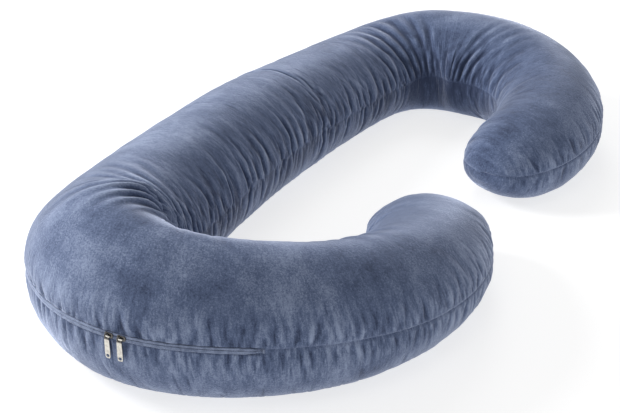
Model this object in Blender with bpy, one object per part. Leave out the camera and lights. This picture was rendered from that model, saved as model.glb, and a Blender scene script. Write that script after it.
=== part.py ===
"""C-shaped body pillow in velvet, lying on its lower panel with the edge zip closed.

Metres, +Z up, the floor at z = 0 and the origin under the middle of the whole outline.
The pillow's back runs along Y. Its two hooked arms reach towards +X and leave a mouth
between their ends. Each arm is measured from the middle of the back, along the middle
of the filling: the near arm goes towards -Y and the far arm towards +Y.
"""

import math
from collections import namedtuple

import bmesh
import bpy
from mathutils import Matrix, Vector
from mathutils.bvhtree import BVHTree

MM = 0.001
NEAR, FAR = -1, 1
CLEAR = 0.3 * MM

# The middle of the back, seen from above.
BACK_MIDDLE = Vector((-0.226, -0.019, 0.0))

# The middle line of each arm, as bends that follow each other.
Bend = namedtuple("Bend", "length degrees")
BENDS = {
    NEAR: (Bend(0.439, 5.7), Bend(0.253, 93.5), Bend(0.573, 112.0), Bend(0.091, 0.0)),
    FAR: (Bend(0.462, 8.4), Bend(0.376, 115.9), Bend(0.457, 82.8), Bend(0.059, 0.0)),
}
BEND_SOFTNESS = 0.048
LINE_STEP = 0.002

# How thick the filled tube is at places along each arm.
Girth = namedtuple("Girth", "place half_width height")
GIRTHS = {
    NEAR: (
        Girth(0.000, 0.115, 0.199),
        Girth(0.439, 0.114, 0.210),
        Girth(0.566, 0.104, 0.243),
        Girth(0.961, 0.101, 0.179),
        Girth(1.356, 0.099, 0.113),
    ),
    FAR: (
        Girth(0.000, 0.115, 0.199),
        Girth(0.462, 0.113, 0.172),
        Girth(0.650, 0.106, 0.195),
        Girth(1.001, 0.101, 0.177),
        Girth(1.353, 0.096, 0.134),
    ),
}

# Where the filling is pushed towards the hollow, on the inner side of the far turn.
INNER_BULGE = 0.044
INNER_BULGE_PLACE = 0.755
INNER_BULGE_REACH = 0.13

# The rounded ends of the arms.
End = namedtuple("End", "length roundness")
ENDS = {NEAR: End(0.114, 2.5), FAR: End(0.167, 2.5)}

# The section across the tube: a lens above the seam, a fuller and flatter form below.
# The share is how much of the tube's height lies under the seam.
SeamRise = namedtuple("SeamRise", "place share")
SEAM_RISES = {
    NEAR: (
        SeamRise(0.00, 0.495),
        SeamRise(0.50, 0.466),
        SeamRise(0.60, 0.472),
        SeamRise(0.68, 0.483),
        SeamRise(0.78, 0.505),
        SeamRise(0.90, 0.512),
        SeamRise(1.02, 0.488),
        SeamRise(1.356, 0.495),
    ),
    FAR: (SeamRise(0.00, 0.495), SeamRise(1.353, 0.495)),
}
CROWN_ROUNDNESS = 1.8
BELLY_ROUNDNESS = 2.35
BELLY_LIFT_AT_END = 1.34
FLOOR_SINK = 0.007
ON_FLOOR = 0.2 * MM
CURVE_STEPS = 48
CROWN_POINTS = 7
BELLY_POINTS = 7
SEAM_MARGINS_ABOVE = (4.2 * MM, 7.5 * MM, 20 * MM)
SEAM_MARGINS_BELOW = (5.9 * MM, 9.2 * MM, 22 * MM)
SMALLEST_MARGIN_SHARE = 0.16

# Rings along the tube.
RING_SPACING = 0.0182
END_RINGS = 9
END_RING_LIMIT = 84.0

# The sewn edge: the seam is drawn in, and the cloth beside it less so.
SEAM_DEPTH = 5.0 * MM
SEAM_SHOULDER_DEPTH = 1.2 * MM
SEAM_SHOULDER_WIDTH = 8.0 * MM

# Short puckers across the edge seam: each ring is drawn in by its own share of them.
Pucker = namedtuple("Pucker", "depth above below")
OUTER_PUCKER = Pucker(5.5 * MM, 0.075, 0.065)
INNER_PUCKER = Pucker(4.0 * MM, 0.060, 0.050)

# Long folds that fan out from the inner side of each turn over the crown. Place and
# lean are metres along the arm, at the inner seam and towards the outer side. Reach is
# the share of the crown, counted from the inner seam, that the fold crosses.
Fold = namedtuple("Fold", "place lean width depth reach")
FOLDS = {
    NEAR: (
        Fold(0.40, -0.10, 0.016, 4.5 * MM, 0.60),
        Fold(0.44, -0.09, 0.015, 6.0 * MM, 0.72),
        Fold(0.48, -0.07, 0.015, 7.5 * MM, 0.80),
        Fold(0.515, -0.05, 0.014, 8.2 * MM, 0.85),
        Fold(0.55, -0.03, 0.014, 8.2 * MM, 0.80),
        Fold(0.585, 0.00, 0.014, 7.5 * MM, 0.70),
        Fold(0.625, 0.02, 0.015, 6.0 * MM, 0.60),
        Fold(0.69, 0.03, 0.018, 3.8 * MM, 0.50),
        Fold(0.88, 0.04, 0.018, 3.8 * MM, 0.45),
        Fold(0.96, 0.05, 0.016, 5.2 * MM, 0.55),
        Fold(1.02, 0.05, 0.016, 5.2 * MM, 0.60),
        Fold(1.08, 0.04, 0.016, 4.5 * MM, 0.50),
    ),
    FAR: (
        Fold(0.42, -0.05, 0.017, 3.8 * MM, 0.60),
        Fold(0.47, -0.05, 0.016, 4.5 * MM, 0.65),
        Fold(0.52, -0.04, 0.016, 5.2 * MM, 0.70),
        Fold(0.57, -0.03, 0.015, 6.0 * MM, 0.75),
        Fold(0.615, -0.02, 0.014, 6.8 * MM, 0.75),
        Fold(0.66, 0.00, 0.014, 6.8 * MM, 0.80),
        Fold(0.705, 0.02, 0.014, 7.5 * MM, 0.85),
        Fold(0.75, 0.04, 0.014, 7.5 * MM, 0.85),
        Fold(0.80, 0.06, 0.015, 6.8 * MM, 0.80),
        Fold(0.86, 0.08, 0.017, 5.2 * MM, 0.65),
        Fold(0.94, 0.09, 0.019, 3.8 * MM, 0.50),
    ),
}

# Folds across the inner half of the back, uneven from ring to ring.
BACK_FOLD_DEPTH = 5.5 * MM
BACK_FOLD_REACH = 0.80
BACK_LENGTH = {NEAR: 0.40, FAR: 0.44}

# Slow lumps in the filling.
Lump = namedtuple("Lump", "wavelength height turn")
LUMPS = (Lump(0.41, 2.4 * MM, 0.7), Lump(0.23, 1.6 * MM, 2.1))

# The zip in the outer edge seam of the near arm, from its hidden end on the back to
# the tack that shows on the hook. The lips stop just before that tack.
ZIP_FROM = 0.25
LIPS_TO = 0.811
ZIP_TO = 0.827
ZIP_RECESS = 2.0 * MM
ZIP_GAP = 0.35 * MM
LIP_THICKNESS = 2.0 * MM
UPPER_LIP_EDGE = 3.7 * MM
LOWER_LIP_EDGE = 5.3 * MM
TACK_LENGTH = 3.0 * MM
TACK_THICKNESS = 2.6 * MM
TACK_GAP = 0.4 * MM

# The sliders, head to head, and the tabs that hang from their bridges.
SLIDER_PLACES = {"left": 0.6680, "right": 0.6800}
SLIDER_LENGTH = 12.4 * MM
SLIDER_HEIGHT = 9.0 * MM
SLIDER_THICKNESS = 1.5 * MM
BRIDGE_LENGTH = 6.8 * MM
BRIDGE_RISE = 3.6 * MM
BRIDGE_STRAP = 1.2 * MM
BRIDGE_WIDTH = 2.4 * MM
BRIDGE_LEG = 1.4 * MM
TAB_LENGTH = 38.0 * MM
TAB_TOP_WIDTH = 7.0 * MM
TAB_FOOT_WIDTH = 8.4 * MM
TAB_THICKNESS = 1.2 * MM
TAB_BAR = 1.3 * MM
TAB_SLOT = (3.2 * MM, 5.6 * MM)
TAB_HOLE_RADIUS = 2.4 * MM
TAB_HOLE_FROM_FOOT = 4.2 * MM
TAB_REST_GAP = 0.5 * MM
TAB_LEAST_SLOPE = -0.04
RAY_START = 40.0 * MM

Finish = namedtuple("Finish", "colour roughness metallic")
VELVET = Finish((0.105, 0.135, 0.235), 0.85, 0.0)
ZIP_TAPE = Finish((0.095, 0.120, 0.205), 0.75, 0.0)
NICKEL = Finish((0.66, 0.64, 0.60), 0.32, 1.0)


def clear_scene():
    for obj in list(bpy.data.objects):
        bpy.data.objects.remove(obj, do_unlink=True)


def material(name, finish):
    made = bpy.data.materials.new(name)
    made.use_nodes = True
    shader = made.node_tree.nodes["Principled BSDF"]
    shader.inputs["Base Color"].default_value = (*finish.colour, 1.0)
    shader.inputs["Roughness"].default_value = finish.roughness
    shader.inputs["Metallic"].default_value = finish.metallic
    return made


def scatter(number):
    """An even-looking value from 0 to 1 for a whole number, the same each time."""
    return math.modf(abs(math.sin(number * 12.9898) * 43758.5453))[0]


def bell(distance, width):
    return math.exp(-((distance / width) ** 2))


def eased(share):
    share = min(max(share, 0.0), 1.0)
    return share * share * (3 - 2 * share)


def through(rows, column, place):
    """The smooth curve through one column of a table, at a place along the arm."""
    places = [row.place for row in rows]
    values = [getattr(row, column) for row in rows]
    last = len(rows) - 1
    i = min(max(sum(p <= place for p in places) - 1, 0), last - 1)

    def slope(k):
        a, b = max(k - 1, 0), min(k + 1, last)
        return (values[b] - values[a]) / (places[b] - places[a])

    span = places[i + 1] - places[i]
    t = min(max((place - places[i]) / span, 0.0), 1.0)
    rise = 3 * t**2 - 2 * t**3
    leave = (t**3 - 2 * t**2 + t) * span * slope(i)
    arrive = (t**3 - t**2) * span * slope(i + 1)
    return values[i] * (1 - rise) + values[i + 1] * rise + leave + arrive


class Arm:
    """One half of the C: its middle line, and what the section is at each place."""

    def __init__(self, side):
        self.side = side
        self.girths = GIRTHS[side]
        self.end = ENDS[side]
        self.length = sum(bend.length for bend in BENDS[side])
        self.line = self._walk_line()

    def bend_at(self, place):
        """How fast the line turns, in radians for each metre."""
        start, turning = 0.0, 0.0
        for i, bend in enumerate(BENDS[self.side]):
            stop = start + bend.length
            rate = math.radians(bend.degrees) / bend.length
            soft = BEND_SOFTNESS * math.sqrt(2)
            begun = 1.0 if i == 0 else 0.5 + 0.5 * math.erf((place - start) / soft)
            ended = 0.5 + 0.5 * math.erf((place - stop) / soft)
            ended = 0.0 if i == len(BENDS[self.side]) - 1 else ended
            turning += rate * (begun - ended)
            start = stop
        return turning

    def _walk_line(self):
        steps = math.ceil(self.length / LINE_STEP)
        point, heading = BACK_MIDDLE.copy(), 0.0
        line = [(point.copy(), heading)]
        for i in range(steps):
            middle = (i + 0.5) * self.length / steps
            heading += 0.5 * self.bend_at(middle) * self.length / steps
            ahead = Vector((math.sin(heading), self.side * math.cos(heading), 0.0))
            point = point + ahead * self.length / steps
            heading += 0.5 * self.bend_at(middle) * self.length / steps
            line.append((point.copy(), heading))
        return line

    def station(self, place):
        """The line's point there, and the level direction that points out of the C."""
        exact = min(max(place / self.length, 0.0), 1.0) * (len(self.line) - 1)
        i = min(int(exact), len(self.line) - 2)
        (p0, h0), (p1, h1) = self.line[i], self.line[i + 1]
        heading = h0 + (h1 - h0) * (exact - i)
        outward = Vector((-math.cos(heading), self.side * math.sin(heading), 0.0))
        return p0.lerp(p1, exact - i), outward

    def half_width(self, place):
        return through(self.girths, "half_width", place)

    def height(self, place):
        return through(self.girths, "height", place)

    def seam_height(self, place):
        return through(SEAM_RISES[self.side], "share", place) * self.height(place)

    def inner_extra(self, place):
        if self.side == NEAR:
            return 0.0
        return INNER_BULGE * bell(place - INNER_BULGE_PLACE, INNER_BULGE_REACH)

    def places(self):
        """Places of the rings, evenly spaced on the outer side, closer at the end.

        On the near arm one of them lies where the zip's lips stop.
        """
        start = self.length - self.end.length
        found, place = [], 0.0
        while place < start - 0.5 * RING_SPACING:
            found.append(place)
            stretch = 1 + max(self.bend_at(place), 0.0) * self.half_width(place)
            place += RING_SPACING / stretch
        if self.side == NEAR:
            closest = min(range(len(found)), key=lambda k: abs(found[k] - LIPS_TO))
            found[closest] = LIPS_TO
        for i in range(END_RINGS):
            angle = math.radians(END_RING_LIMIT) * i / (END_RINGS - 1)
            along = math.sin(angle) ** (2 / self.end.roundness)
            found.append(start + along * self.end.length)
        return found

    def fullness(self, place):
        """1 along the tube, falling to 0 at the rounded end's tip."""
        start = self.length - self.end.length
        along = min(max((place - start) / self.end.length, 0.0), 1.0)
        return (1 - along**self.end.roundness) ** (1 / self.end.roundness)


def quarter(angle, across, up, roundness):
    """A point of a rounded quarter section, and of the same quarter past the top."""
    c, s = math.cos(angle), math.sin(angle)
    x = math.copysign(abs(c) ** (2 / roundness), c) * across(c)
    return x, abs(s) ** (2 / roundness) * up


def half_section(across, up, roundness, floor, margins, between):
    """Points from the outer seam to the inner seam, both left out, by their distance.

    Each is (across, up, distance from the outer seam, whole distance to the inner).
    """
    fine = []
    for i in range(CURVE_STEPS + 1):
        angle = math.pi * (0.5 - 0.5 * math.cos(math.pi * i / CURVE_STEPS))
        x, y = quarter(angle, across, up, roundness)
        fine.append((x, min(y, floor)))
    lengths = [0.0]
    for a, b in zip(fine, fine[1:]):
        lengths.append(lengths[-1] + math.dist(a, b))
    whole = lengths[-1]
    scale = min(1.0, SMALLEST_MARGIN_SHARE * whole / margins[-1])
    near = [m * scale for m in margins]
    step = (whole - 2 * near[-1]) / (between + 1)
    far = [whole - m for m in reversed(near)]
    wanted = near + [near[-1] + step * (k + 1) for k in range(between)] + far
    points, i = [], 0
    for distance in wanted:
        while i < len(fine) - 2 and lengths[i + 1] < distance:
            i += 1
        t = (distance - lengths[i]) / (lengths[i + 1] - lengths[i])
        x = fine[i][0] + (fine[i + 1][0] - fine[i][0]) * t
        y = fine[i][1] + (fine[i + 1][1] - fine[i][1]) * t
        points.append((x, y, distance, whole))
    return points


def pucker_depth(pucker, distance, above, number):
    """How far a short pucker across a seam draws the cloth in."""
    reach = pucker.above if above else pucker.below
    reach *= 0.6 + 0.8 * scatter(number + 40)
    return pucker.depth * scatter(number) * eased(1 - distance / reach)


def fold_depth(arm, place, share):
    """How far the long folds draw the crown in; share counts from the inner seam."""
    depth = 0.0
    for fold in FOLDS[arm.side]:
        centre = fold.place + fold.lean * share
        width = fold.width * (1 + 0.8 * share)
        fade = eased((fold.reach - share) / (0.5 * fold.reach))
        start = eased((share + 0.06) / 0.12)
        depth += fold.depth * bell(place - centre, width) * fade * start
    return depth


def lump_height(arm, place, share):
    """The slow unevenness of the filling over the crown."""
    along = arm.side * place
    total = 0.0
    for lump in LUMPS:
        phase = 2 * math.pi * along / lump.wavelength
        total += lump.height * math.sin(phase + lump.turn * (1 + 2 * share))
    return total * math.sin(math.pi * share)


def cloth_offset(arm, place, index, distance, whole, above):
    """Outward offset of the cloth at a ring's point, from folds, puckers and lumps."""
    share = 1 - distance / whole
    number = arm.side * index
    offset = -pucker_depth(OUTER_PUCKER, distance, above, number)
    offset -= pucker_depth(INNER_PUCKER, whole - distance, above, number + 7)
    if above:
        offset -= fold_depth(arm, place, share)
        offset += lump_height(arm, place, share)
    if above and place < BACK_LENGTH[arm.side]:
        fade = eased((BACK_FOLD_REACH - share) / BACK_FOLD_REACH)
        offset -= BACK_FOLD_DEPTH * scatter(number + 90) * fade
    return offset


def offset_points(points, offsets):
    """Moves each point of an open line along its own outward normal."""
    moved = []
    for i, (x, y) in enumerate(points):
        before = points[max(i - 1, 0)]
        after = points[min(i + 1, len(points) - 1)]
        run = Vector((after[0] - before[0], after[1] - before[1]))
        normal = Vector((run.y, -run.x)).normalized()
        moved.append((x + normal.x * offsets[i], y + normal.y * offsets[i]))
    return moved


class Ring:
    """One section of the pillow: points in the plane across the middle line."""

    def __init__(self, arm, index, place, zipped):
        self.arm, self.index, self.place = arm, index, place
        self.point, self.outward = arm.station(place)
        full = arm.fullness(place)
        height = arm.height(place)
        self.seam_height = arm.seam_height(place)
        self.outer = arm.half_width(place) * full
        inner = (arm.half_width(place) + arm.inner_extra(place)) * full
        crown = (height - self.seam_height) * full
        belly = (self.seam_height + FLOOR_SINK) * full**BELLY_LIFT_AT_END

        def across(cosine):
            return self.outer if cosine >= 0 else inner

        above = half_section(
            across, crown, CROWN_ROUNDNESS, crown, SEAM_MARGINS_ABOVE, CROWN_POINTS
        )
        below = half_section(
            across,
            belly,
            BELLY_ROUNDNESS,
            self.seam_height,
            SEAM_MARGINS_BELOW,
            BELLY_POINTS,
        )
        self.above = self._dressed(above, True, full)
        self.below = self._dressed(below, False, full)
        self.drawn_in = full * SEAM_DEPTH
        self.inner = inner - self.drawn_in
        self.zipped = zipped
        if zipped:
            self._cut_recess()

    def _dressed(self, points, above, full):
        """The half section with its cloth offsets, as (across, up) from the seam."""
        offsets = []
        for x, y, distance, whole in points:
            offset = cloth_offset(
                self.arm, self.place, self.index, distance, whole, above
            )
            edge = min(distance, whole - distance)
            offset -= SEAM_SHOULDER_DEPTH * bell(edge, SEAM_SHOULDER_WIDTH)
            offsets.append(offset * full)
        flat = [(x, y) for x, y, _, _ in points]
        moved = offset_points(flat, offsets)
        if above:
            return moved
        resting = []
        for (x, y), (moved_x, moved_y) in zip(flat, moved):
            on_floor = y > self.seam_height - ON_FLOOR
            free = (moved_x, min(moved_y, self.seam_height))
            resting.append((x, y) if on_floor else free)
        return resting

    def _cut_recess(self):
        floor = self.outer - ZIP_RECESS
        self.above[0] = (floor, SEAM_MARGINS_ABOVE[0])
        self.below[0] = (floor, SEAM_MARGINS_BELOW[0])
        self.drawn_in = ZIP_RECESS

    def at(self, across, up):
        """The world point that lies across from the middle line and up from the seam."""
        level = Vector((0.0, 0.0, self.seam_height + up))
        return self.point + self.outward * across + level

    def loop(self):
        """All the points, from the outer seam over the crown and back under."""
        points = [self.at(self.outer - self.drawn_in, 0.0)]
        points += [self.at(x, y) for x, y in self.above]
        points.append(self.at(-self.inner, 0.0))
        points += [self.at(x, -y) for x, y in reversed(self.below)]
        return points


def rings_of(arm, zip_range):
    places = arm.places()
    return [
        Ring(arm, i, place, zip_range[0] <= place <= zip_range[1])
        for i, place in enumerate(places)
    ]


def add_object(name, mesh, collection, finish):
    obj = bpy.data.objects.new(name, mesh)
    collection.objects.link(obj)
    mesh.materials.append(finish)
    return obj


def skin(mesh_name, loops, tips):
    """A closed body through closed loops of points, with a tip at each end."""
    bm = bmesh.new()
    rows = [[bm.verts.new(point) for point in loop] for loop in loops]
    count = len(rows[0])
    for one, two in zip(rows, rows[1:]):
        for k in range(count):
            n = (k + 1) % count
            bm.faces.new((one[k], one[n], two[n], two[k]))
    for row, tip in ((rows[0], tips[0]), (rows[-1], tips[1])):
        if tip is None:
            bm.faces.new(row)
            continue
        point = bm.verts.new(tip)
        for k in range(count):
            bm.faces.new((row[k], row[(k + 1) % count], point))
    bmesh.ops.recalc_face_normals(bm, faces=bm.faces)
    mesh = bpy.data.meshes.new(mesh_name)
    bm.to_mesh(mesh)
    bm.free()
    mesh.shade_smooth()
    return mesh


def tip_of(arm):
    point, _ = arm.station(arm.length)
    return point + Vector((0.0, 0.0, arm.seam_height(arm.length)))


def make_pillow(near_rings, far_rings, collection, finish):
    """The filled cover, from the near tip round the back to the far tip."""
    loops = [ring.loop() for ring in reversed(near_rings)]
    loops += [ring.loop() for ring in far_rings[1:]]
    tips = (tip_of(near_rings[0].arm), tip_of(far_rings[0].arm))
    return add_object("pillow", skin("pillow", loops, tips), collection, finish)


def lip_section(start, edge):
    """A folded lip across the zip: (up from the seam, out from the recess floor)."""
    sign = math.copysign(1.0, edge)
    t = LIP_THICKNESS
    shape = (
        (start, 0.0),
        (edge, 0.0),
        (edge, 0.55 * t),
        (edge - sign * 0.7 * MM, 0.95 * t),
        (start + sign * 0.7 * MM, t),
        (start, 0.6 * t),
    )
    return [(up, CLEAR + out) for up, out in shape]


def make_lip(name, rings, section, collection, finish):
    loops = []
    for ring in rings:
        floor = ring.outer - ZIP_RECESS
        loops.append([ring.at(floor + out, up) for up, out in section])
    mesh = skin(name, loops, (None, None))
    return add_object(name, mesh, collection, finish)


def zip_frame(first, second, share, lift):
    """Axes on the zip between two rings: X along it, Y up, Z out of the pillow."""
    a = first.at(first.outer - ZIP_RECESS, 0.0)
    b = second.at(second.outer - ZIP_RECESS, 0.0)
    along = (b - a).normalized()
    out = along.cross(Vector((0.0, 0.0, 1.0))).normalized()
    if out.dot(first.outward) < 0:
        out.negate()
    up = out.cross(along)
    if up.z < 0:
        along.negate()
        up.negate()
    place = a.lerp(b, share) + out * lift
    return Matrix.Translation(place) @ Matrix((along, up, out)).transposed().to_4x4()


def box_mesh(name, size, rounding):
    """A box with rounded edges, centred, standing on its own XY plane."""
    bm = bmesh.new()
    bmesh.ops.create_cube(bm, size=1.0)
    bmesh.ops.scale(bm, vec=size, verts=bm.verts)
    bmesh.ops.translate(bm, vec=(0.0, 0.0, size[2] / 2), verts=bm.verts)
    bmesh.ops.bevel(
        bm,
        geom=bm.edges[:],
        offset=rounding,
        segments=2,
        profile=0.5,
        affect="EDGES",
        material=-1,
    )
    mesh = bpy.data.meshes.new(name)
    bm.to_mesh(mesh)
    bm.free()
    return mesh


def make_tack(name, inside, beyond, collection, finish):
    """The stitched bar across the zip's end, on the recess floor past the lips."""
    span = (beyond.at(beyond.outer, 0) - inside.at(inside.outer, 0)).length
    share = (TACK_GAP + TACK_LENGTH / 2) / span
    place = zip_frame(inside, beyond, share, CLEAR)
    low, high = -LOWER_LIP_EDGE, UPPER_LIP_EDGE
    size = (TACK_LENGTH, high - low, TACK_THICKNESS)
    obj = add_object(name, box_mesh(name, size, 0.4 * MM), collection, finish)
    middle = Matrix.Translation((0.0, (high + low) / 2, 0.0))
    obj.data.transform(middle)
    obj.matrix_world = place
    return obj


def plate_mesh(name, outlines, thickness):
    """A flat plate from closed outlines, the later ones holes, on its XY plane."""
    curve = bpy.data.curves.new(name, "CURVE")
    curve.dimensions = "2D"
    curve.fill_mode = "BOTH"
    curve.extrude = thickness / 2
    for outline in outlines:
        spline = curve.splines.new("POLY")
        spline.points.add(len(outline) - 1)
        for point, (x, y) in zip(spline.points, outline):
            point.co = (x, y, 0.0, 1.0)
        spline.use_cyclic_u = True
    holder = bpy.data.objects.new(name + "_outline", curve)
    bpy.context.scene.collection.objects.link(holder)
    bpy.context.view_layer.update()
    graph = bpy.context.evaluated_depsgraph_get()
    mesh = bpy.data.meshes.new_from_object(holder.evaluated_get(graph))
    bpy.data.objects.remove(holder, do_unlink=True)
    bpy.data.curves.remove(curve)
    bm = bmesh.new()
    bm.from_mesh(mesh)
    bmesh.ops.remove_doubles(bm, verts=bm.verts, dist=0.01 * MM)
    bmesh.ops.translate(bm, vec=(0.0, 0.0, thickness / 2), verts=bm.verts)
    bmesh.ops.recalc_face_normals(bm, faces=bm.faces)
    bm.to_mesh(mesh)
    bm.free()
    mesh.name = name
    return mesh


def arc(centre, radius, start, stop, steps):
    """Points along an arc, in degrees, both ends included."""
    found = []
    for i in range(steps + 1):
        angle = math.radians(start + (stop - start) * i / steps)
        x = centre[0] + radius * math.cos(angle)
        found.append((x, centre[1] + radius * math.sin(angle)))
    return found


def bridge_outlines():
    """The bridge from the side: its arch, and the window that the tab hangs in."""
    half, rise = BRIDGE_LENGTH / 2, SLIDER_THICKNESS + BRIDGE_RISE
    corner = 2.2 * MM
    low = 0.5 * SLIDER_THICKNESS
    outer = [(half, low)]
    outer += arc((half - corner, rise - corner), corner, 0, 90, 5)
    outer += arc((corner - half, rise - corner), corner, 90, 180, 5)
    outer.append((-half, low))
    inside, top, inner = half - BRIDGE_LEG, rise - BRIDGE_STRAP, 1.0 * MM
    base = 0.9 * SLIDER_THICKNESS
    window = [(inside, base)]
    window += arc((inside - inner, top - inner), inner, 0, 90, 3)
    window += arc((inner - inside, top - inner), inner, 90, 180, 3)
    window.append((-inside, base))
    return outer, window


def joined(obj, other):
    """Unites two closed objects into the first, and removes the second."""
    union = obj.modifiers.new("union", "BOOLEAN")
    union.operation = "UNION"
    union.object = other
    bpy.context.view_layer.update()
    graph = bpy.context.evaluated_depsgraph_get()
    mesh = bpy.data.meshes.new_from_object(obj.evaluated_get(graph))
    obj.modifiers.remove(union)
    obj.data = mesh
    bpy.data.objects.remove(other, do_unlink=True)
    return obj


def make_slider(name, place, collection, finish):
    """The slider's wing plate over the lips, with the bridge along the zip."""
    size = (SLIDER_LENGTH, SLIDER_HEIGHT, SLIDER_THICKNESS)
    obj = add_object(name, box_mesh(name, size, 0.5 * MM), collection, finish)
    bridge = plate_mesh(name + "_bridge", bridge_outlines(), BRIDGE_WIDTH)
    bridge.transform(Matrix.Rotation(math.pi / 2, 4, "X"))
    bridge.transform(Matrix.Translation((0.0, BRIDGE_WIDTH / 2, 0.0)))
    other = bpy.data.objects.new(name + "_bridge", bridge)
    collection.objects.link(other)
    joined(obj, other)
    obj.matrix_world = place
    return obj


def tab_outlines():
    """The tab from the front, hanging down from the top edge of its slot at y = 0."""
    top, foot = TAB_TOP_WIDTH / 2, TAB_FOOT_WIDTH / 2
    high, low = TAB_BAR, TAB_BAR - TAB_LENGTH
    small, large = 1.6 * MM, 2.6 * MM
    outer = arc((top - small, high - small), small, 0, 90, 4)
    outer += arc((small - top, high - small), small, 90, 180, 4)
    outer += arc((large - foot, low + large), large, 180, 270, 5)
    outer += arc((foot - large, low + large), large, 270, 360, 5)
    x, y = TAB_SLOT[0] / 2, TAB_SLOT[1]
    slot = [(x, 0.0), (-x, 0.0), (-x, -y), (x, -y)]
    centre = (0.0, low + TAB_HOLE_FROM_FOOT)
    hole = arc(centre, TAB_HOLE_RADIUS, 0, 360, 14)[:-1]
    return outer, slot, hole


def cloth_height(tree, frame, x, y):
    """How far out of the zip's plane the cloth lies at a point of that plane."""
    start = frame @ Vector((x, y, RAY_START))
    down = -(frame.to_3x3() @ Vector((0.0, 0.0, 1.0)))
    hit = tree.ray_cast(start, down)
    return RAY_START - hit[3] if hit[0] else -RAY_START


def make_tab(name, place, tree, collection, finish):
    """The tab on its slider's left leg, its foot resting against the cloth."""
    leg = (BRIDGE_LEG - BRIDGE_LENGTH) / 2
    slot_top = BRIDGE_WIDTH / 2 + CLEAR
    hang = SLIDER_THICKNESS + 0.5 * (BRIDGE_RISE - BRIDGE_STRAP - TAB_THICKNESS)
    foot = slot_top + TAB_BAR - TAB_LENGTH
    half = TAB_FOOT_WIDTH / 2
    rows = [foot + TAB_LENGTH * k / 8 for k in range(6)]
    slope = 0.0
    for y in rows:
        for x in (leg - half, leg, leg + half):
            cloth = cloth_height(tree, place, x, y) + TAB_REST_GAP
            slope = max(slope, (cloth - hang) / (slot_top - y))
    if slope == 0.0:
        cloth = cloth_height(tree, place, leg, foot) + TAB_REST_GAP
        slope = max((cloth - hang) / (slot_top - foot), TAB_LEAST_SLOPE)
    mesh = plate_mesh(name, tab_outlines(), TAB_THICKNESS)
    tilt = Matrix.Rotation(-math.atan(slope), 4, "X")
    mesh.transform(Matrix.Translation((leg, slot_top, hang)) @ tilt)
    obj = add_object(name, mesh, collection, finish)
    obj.matrix_world = place
    return obj


def slider_frame(rings, place):
    """The frame of a slider, lifted so that its flat plate clears the bent lips."""
    i = max(k for k, ring in enumerate(rings) if ring.place <= place)
    first, second = rings[i], rings[i + 1]
    share = (place - first.place) / (second.place - first.place)
    lift = CLEAR + LIP_THICKNESS
    frame = zip_frame(first, second, share, lift)
    inverse = frame.inverted()
    reach = 0.5 * SLIDER_LENGTH + 2 * MM
    highest = 0.0
    for ring in rings[i - 2 : i + 4]:
        crown = ring.at(ring.outer - ZIP_RECESS + lift, 0.0)
        local = inverse @ crown
        if abs(local.x) <= reach:
            highest = max(highest, local.z)
    return frame @ Matrix.Translation((0.0, 0.0, highest + CLEAR))


def build():
    clear_scene()
    collection = bpy.data.collections.new("body_pillow")
    bpy.context.scene.collection.children.link(collection)
    velvet = material("velvet", VELVET)
    tape = material("zip_tape", ZIP_TAPE)
    nickel = material("nickel", NICKEL)

    near, far = Arm(NEAR), Arm(FAR)
    near_rings = rings_of(near, (ZIP_FROM, ZIP_TO))
    far_rings = rings_of(far, (1.0, 0.0))
    pillow = make_pillow(near_rings, far_rings, collection, velvet)
    bpy.context.view_layer.update()
    graph = bpy.context.evaluated_depsgraph_get()
    tree = BVHTree.FromObject(pillow, graph)

    zipped = [i for i, ring in enumerate(near_rings) if ring.zipped]
    first, last = zipped[1], zipped[-2]
    lips = near_rings[first : last + 1]
    upper = lip_section(ZIP_GAP, UPPER_LIP_EDGE)
    lower = lip_section(-ZIP_GAP, -LOWER_LIP_EDGE)
    make_lip("zip_lip_upper", lips, upper, collection, tape)
    make_lip("zip_lip_lower", lips, lower, collection, tape)
    hidden, shown = near_rings[first - 1], near_rings[last + 1]
    make_tack("zip_tack_spine", near_rings[first], hidden, collection, tape)
    make_tack("zip_tack_near", near_rings[last], shown, collection, tape)

    for side, place in SLIDER_PLACES.items():
        frame = slider_frame(near_rings, place)
        make_slider("slider_" + side, frame, collection, nickel)
        make_tab("pull_" + side, frame, tree, collection, nickel)


build()
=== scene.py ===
"""A C-shaped velvet body pillow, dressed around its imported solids.

Metres, +Z up, the floor at z = 0. The pillow's back runs along Y and its two hooked
arms reach towards +X. Each arm is measured from the middle of the back along the
middle of the filling. A place is such a distance; a place of the near arm is negative
where the two arms share one row of rings.
"""

import logging
import math
from dataclasses import dataclass, field
from enum import Enum
from typing import Optional, Union

import bmesh
import bpy
import numpy as np
from mathutils import Matrix, Vector


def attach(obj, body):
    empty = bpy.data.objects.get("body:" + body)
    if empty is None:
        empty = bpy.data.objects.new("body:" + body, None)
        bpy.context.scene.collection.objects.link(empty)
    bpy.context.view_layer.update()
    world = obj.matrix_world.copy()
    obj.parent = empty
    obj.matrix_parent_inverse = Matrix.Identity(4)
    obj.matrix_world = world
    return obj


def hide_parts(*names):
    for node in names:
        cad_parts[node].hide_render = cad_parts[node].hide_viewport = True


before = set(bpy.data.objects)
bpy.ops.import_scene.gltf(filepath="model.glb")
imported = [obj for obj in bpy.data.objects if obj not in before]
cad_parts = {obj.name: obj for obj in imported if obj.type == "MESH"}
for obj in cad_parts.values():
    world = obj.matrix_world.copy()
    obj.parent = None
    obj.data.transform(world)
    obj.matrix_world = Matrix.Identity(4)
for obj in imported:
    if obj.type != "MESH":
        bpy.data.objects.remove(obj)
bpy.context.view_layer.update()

LOG = logging.getLogger("body_pillow")
MM = 0.001
SHARP_DEGREES = 40.0

Colour = tuple[float, float, float]

SHEEN_TINT: Colour = (0.72, 0.79, 1.0)


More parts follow.
